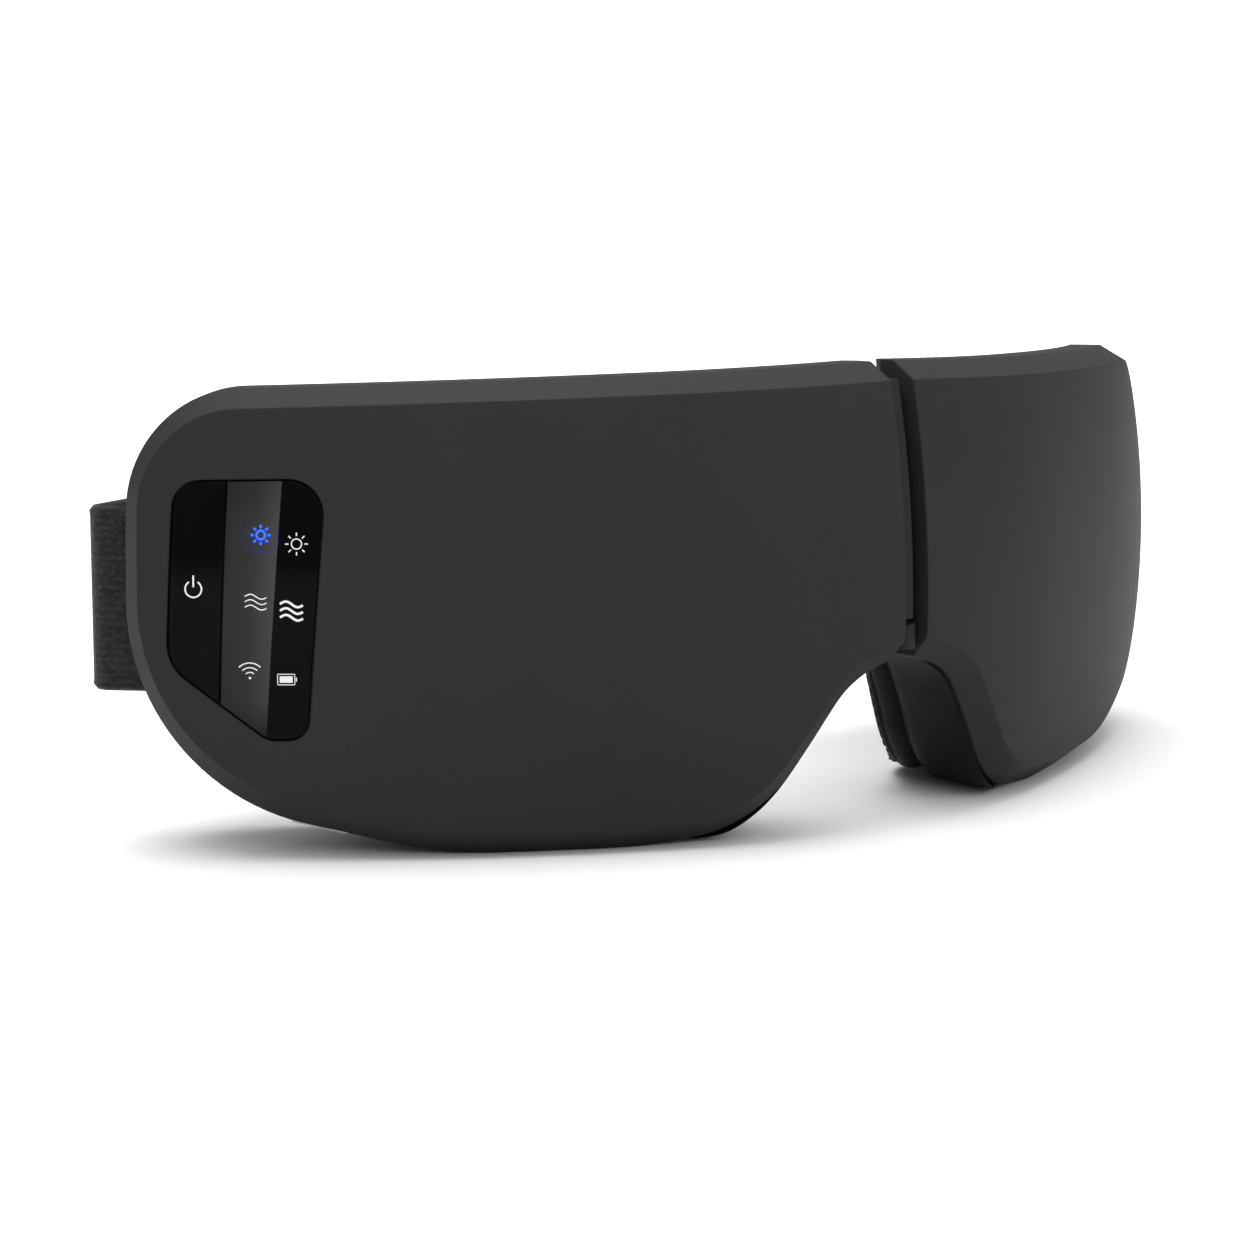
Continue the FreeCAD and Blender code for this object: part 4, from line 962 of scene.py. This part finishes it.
def webbing(side):
    """One elastic band from its clamp round the fold to the tip, with rolled sewn edges."""
    label = "right" if side > 0 else "left"
    line = strap_line()
    count = len(line)
    tangent = np.gradient(line, axis=0)
    tangent /= np.linalg.norm(tangent, axis=1)[:, None]
    normal = np.column_stack([tangent[:, 1], -tangent[:, 0]])
    half, width = STRAP_THICK / 2, STRAP_HIGH - STRAP_LOW
    section = []
    for k in range(37):
        share = k / 36
        edge = min(share, 1 - share) * width
        thick = half * (0.62 if edge < 0.3 else 1.0 if edge < 1.5 else 0.88)
        if edge < 0.02:
            thick = half * 0.3
        section.append((STRAP_LOW + 0.05 + share * (width - 0.1), thick))
    ring = [(z, t) for z, t in section] + [(z, -t) for z, t in reversed(section)]
    rng = random.Random(11)
    drift = [rng.uniform(-1, 1) for _ in range(12)]
    vertices = []
    for i in range(count):
        t = i / (count - 1)
        slack = sum(d * math.sin(math.pi * (j + 1) * t) / (j + 2) for j, d in enumerate(drift))
        lift = 0.12 * slack * min(1.0, (t - CALM_SHARE) * 6) if t > CALM_SHARE else 0.0
        for z, offset in ring:
            p = line[i] + normal[i] * (offset + lift)
            vertices.append(Vector((side * p[0], p[1], z)) * MM)
    columns = len(ring)
    faces = grid_faces(count, columns, False, True, flip=side > 0)
    faces.append(tuple(range(columns)) if side < 0 else tuple(reversed(range(columns))))
    ends = tuple((count - 1) * columns + k for k in range(columns))
    faces.append(tuple(reversed(ends)) if side < 0 else ends)
    piece = new_piece(label + "_webbing", vertices, faces, None, BAND)
    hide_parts(label + "_strap", label + "_strap_anchor")
    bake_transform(piece)
    for row, z in enumerate((STRAP_LOW + 1.7, STRAP_HIGH - 1.7)):
        for face in (1, -1):
            name = "%s_strap_stitches_%d%s" % (label, row, "a" if face > 0 else "b")
            path = [Vector((side * (p[0] + n[0] * face * half * 0.93),
                            p[1] + n[1] * face * half * 0.93, z)) * MM
                    for p, n in list(zip(line, normal))[28:-1]]
            stitch_line(name, path, 0.0019, 0.0009, 0.00013, label + "_strap", THREAD)


TAPE_LENGTH, TAPE_WIDTH, TAPE_FROM_TIP = 34.0, 24.0, 3.0


def tape(side, hooks):
    """Hook or loop patch: woven base, dense pile and a sewn border."""
    label = "right" if side > 0 else "left"
    node = "right_hook_patch" if hooks else "left_loop_patch"
    bend, tip = np.array(BEND), np.array(TIP)
    run = (bend - tip) / np.linalg.norm(bend - tip)
    facing = np.array([-run[1], run[0]]) * (-1 if hooks else 1)
    start = tip + run * TAPE_FROM_TIP + facing * (STRAP_THICK / 2 + 0.03)
    length, width = TAPE_LENGTH, TAPE_WIDTH
    base_low = (STRAP_LOW + STRAP_HIGH - width) / 2
    rng = random.Random(23 if hooks else 29)
    vertices, faces = [], []

    def at(u, z, h):
        p = start + run * u + facing * h
        return Vector((side * p[0], p[1], z)) * MM

    columns, rows = 69, 49
    for i in range(columns):
        for j in range(rows):
            u, v = length * i / (columns - 1), width * j / (rows - 1)
            rim = min(u, length - u, v, width - v)
            height = 0.34 if rim < 1.4 else 0.4
            if rim < 0.01:
                height = 0.12
            if not hooks and rim >= 1.4:
                height = 0.62 + rng.uniform(-0.1, 0.1)
            vertices.append(at(u, base_low + v, height))
    faces += grid_faces(columns, rows, False, False, flip=(side > 0) != hooks)
    base = len(vertices)
    for i in range(columns):
        for j in range(rows):
            vertices.append(at(length * i / (columns - 1), base_low + width * j / (rows - 1), 0.0))
    faces += grid_faces(columns, rows, False, False, flip=(side > 0) == hooks, base=base)
    rim_index = ([(i, 0) for i in range(columns)] + [(columns - 1, j) for j in range(1, rows)]
                 + [(i, rows - 1) for i in range(columns - 2, -1, -1)]
                 + [(0, j) for j in range(rows - 2, 0, -1)])
    for (i0, j0), (i1, j1) in zip(rim_index, rim_index[1:] + rim_index[:1]):
        a, b = i0 * rows + j0, i1 * rows + j1
        faces.append((a, b, base + b, base + a))
    piece = new_piece(node.replace("patch", "tape"), vertices, faces, label + "_strap",
                      PILE, smooth=not hooks)
    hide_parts(node)
    if hooks:
        hook_vertices, hook_faces = [], []
        for i in range(40):
            for j in range(28):
                u = 1.9 + i * (length - 3.8) / 39 + rng.uniform(-0.06, 0.06)
                z = base_low + 1.9 + j * (width - 3.8) / 27 + rng.uniform(-0.06, 0.06)
                lean = rng.uniform(-0.14, 0.14)
                part, flats = capsule(at(u, z, 0.35), at(u + lean, z + lean * 0.5, 0.97),
                                      0.00011, 5)
                hook_faces += [tuple(len(hook_vertices) + k for k in face) for face in flats]
                hook_vertices += part
        new_piece("right_hook_pile", hook_vertices, hook_faces, None, PILE,
                  parent=piece)
    inset = 0.8
    border = [(inset, inset), (length - inset, inset), (length - inset, width - inset),
              (inset, width - inset), (inset, inset)]
    path = []
    for (u0, v0), (u1, v1) in zip(border, border[1:]):
        path += [at(u0 + (u1 - u0) * k / 20, base_low + v0 + (v1 - v0) * k / 20, 0.36)
                 for k in range(20)]
    stitch_line(piece.name + "_stitches", path, 0.0016, 0.0008, 0.00013, None,
                THREAD, parent=piece)


# ---------------------------------------------------------------- studio

def add_area(name, location, target, width, height, power):
    light = bpy.data.lights.new(name, "AREA")
    light.shape = "RECTANGLE"
    light.size, light.size_y = width, height
    light.energy = power
    lamp = bpy.data.objects.new(name, light)
    lamp.location = location
    lamp.rotation_euler = (Vector(target) - Vector(location)).to_track_quat("-Z", "Y").to_euler()
    bpy.context.scene.collection.objects.link(lamp)
    return lamp


def studio():
    floor_mesh = bpy.data.meshes.new("floor")
    reach = 4.0
    floor_mesh.from_pydata([(-reach, -reach, 0), (reach, -reach, 0), (reach, reach, 0),
                            (-reach, reach, 0)], [], [(0, 1, 2, 3)])
    floor = bpy.data.objects.new("floor", floor_mesh)
    bpy.context.scene.collection.objects.link(floor)
    floor.location.z = -0.0001
    n = Nodes("floor_paper", (0.9, 0.9, 0.9), 0.8, specular=0.1)
    n.rough(n.noise(40.0), 0.75, 0.85)
    far = n.add("ShaderNodeVectorMath", operation="LENGTH")
    n.link(n.position, far.inputs[0])
    n.link(n.ramp(n.math("MULTIPLY", far.outputs["Value"], 0.8, clamp=True),
                  [(0.12, 0.0), (0.75, 0.75)]), n.shader.inputs["Emission Color"])
    n.set("Emission Strength", 1.0)
    floor_mesh.materials.append(n.material)

    world = bpy.data.worlds.new("studio")
    bpy.context.scene.world = world
    world.use_nodes = True
    nodes, links = world.node_tree.nodes, world.node_tree.links
    background = nodes["Background"]
    background.inputs["Color"].default_value = (1.0, 1.0, 1.0, 1.0)
    background.inputs["Strength"].default_value = 1.02
    dim = nodes.new("ShaderNodeBackground")
    dim.inputs["Strength"].default_value = 1.0
    direction = nodes.new("ShaderNodeTexCoord")
    split = nodes.new("ShaderNodeSeparateXYZ")
    links.new(direction.outputs["Generated"], split.inputs[0])
    height = nodes.new("ShaderNodeValToRGB")
    height.color_ramp.elements[0].position = 0.0
    height.color_ramp.elements[0].color = (0.12, 0.12, 0.124, 1.0)
    height.color_ramp.elements[1].position = 0.8
    height.color_ramp.elements[1].color = (1.1, 1.1, 1.1, 1.0)
    links.new(split.outputs["Z"], height.inputs["Fac"])
    links.new(height.outputs["Color"], dim.inputs["Color"])
    path = nodes.new("ShaderNodeLightPath")
    mixer = nodes.new("ShaderNodeMixShader")
    links.new(path.outputs["Is Camera Ray"], mixer.inputs["Fac"])
    links.new(dim.outputs["Background"], mixer.inputs[1])
    links.new(background.outputs["Background"], mixer.inputs[2])
    links.new(mixer.outputs["Shader"], nodes["World Output"].inputs["Surface"])

    add_area("overhead", (-0.05, 0.12, 0.95), (0, 0, 0.02), 1.3, 0.9, 9.8)
    add_area("key", (0.3, -0.95, 0.5), (0, 0, 0.04), 0.6, 0.5, 2.2)
    add_area("side", (-0.85, -0.55, 0.6), (-0.08, 0, 0.04), 0.5, 0.5, 0.6)


def camera():
    data = bpy.data.cameras.new("camera")
    data.sensor_width = 36.0
    data.lens = 87.95
    data.clip_start, data.clip_end = 0.01, 20.0
    eye = Vector((-0.3475, -0.4103, 0.10955))
    target = Vector((-0.03793, -0.01407, 0.03434))
    view = bpy.data.objects.new("camera", data)
    view.location = eye
    view.rotation_euler = (target - eye).to_track_quat("-Z", "Y").to_euler()
    bpy.context.scene.collection.objects.link(view)
    bpy.context.scene.camera = view


finish_cad_nodes()
make_prints()
for half in (1, -1):
    side_cushion(half)
    face_cushion(half)
    eye_pad(half)
    webbing(half)
tape(1, True)
tape(-1, False)
studio()
camera()
bpy.context.scene.view_settings.view_transform = "Standard"
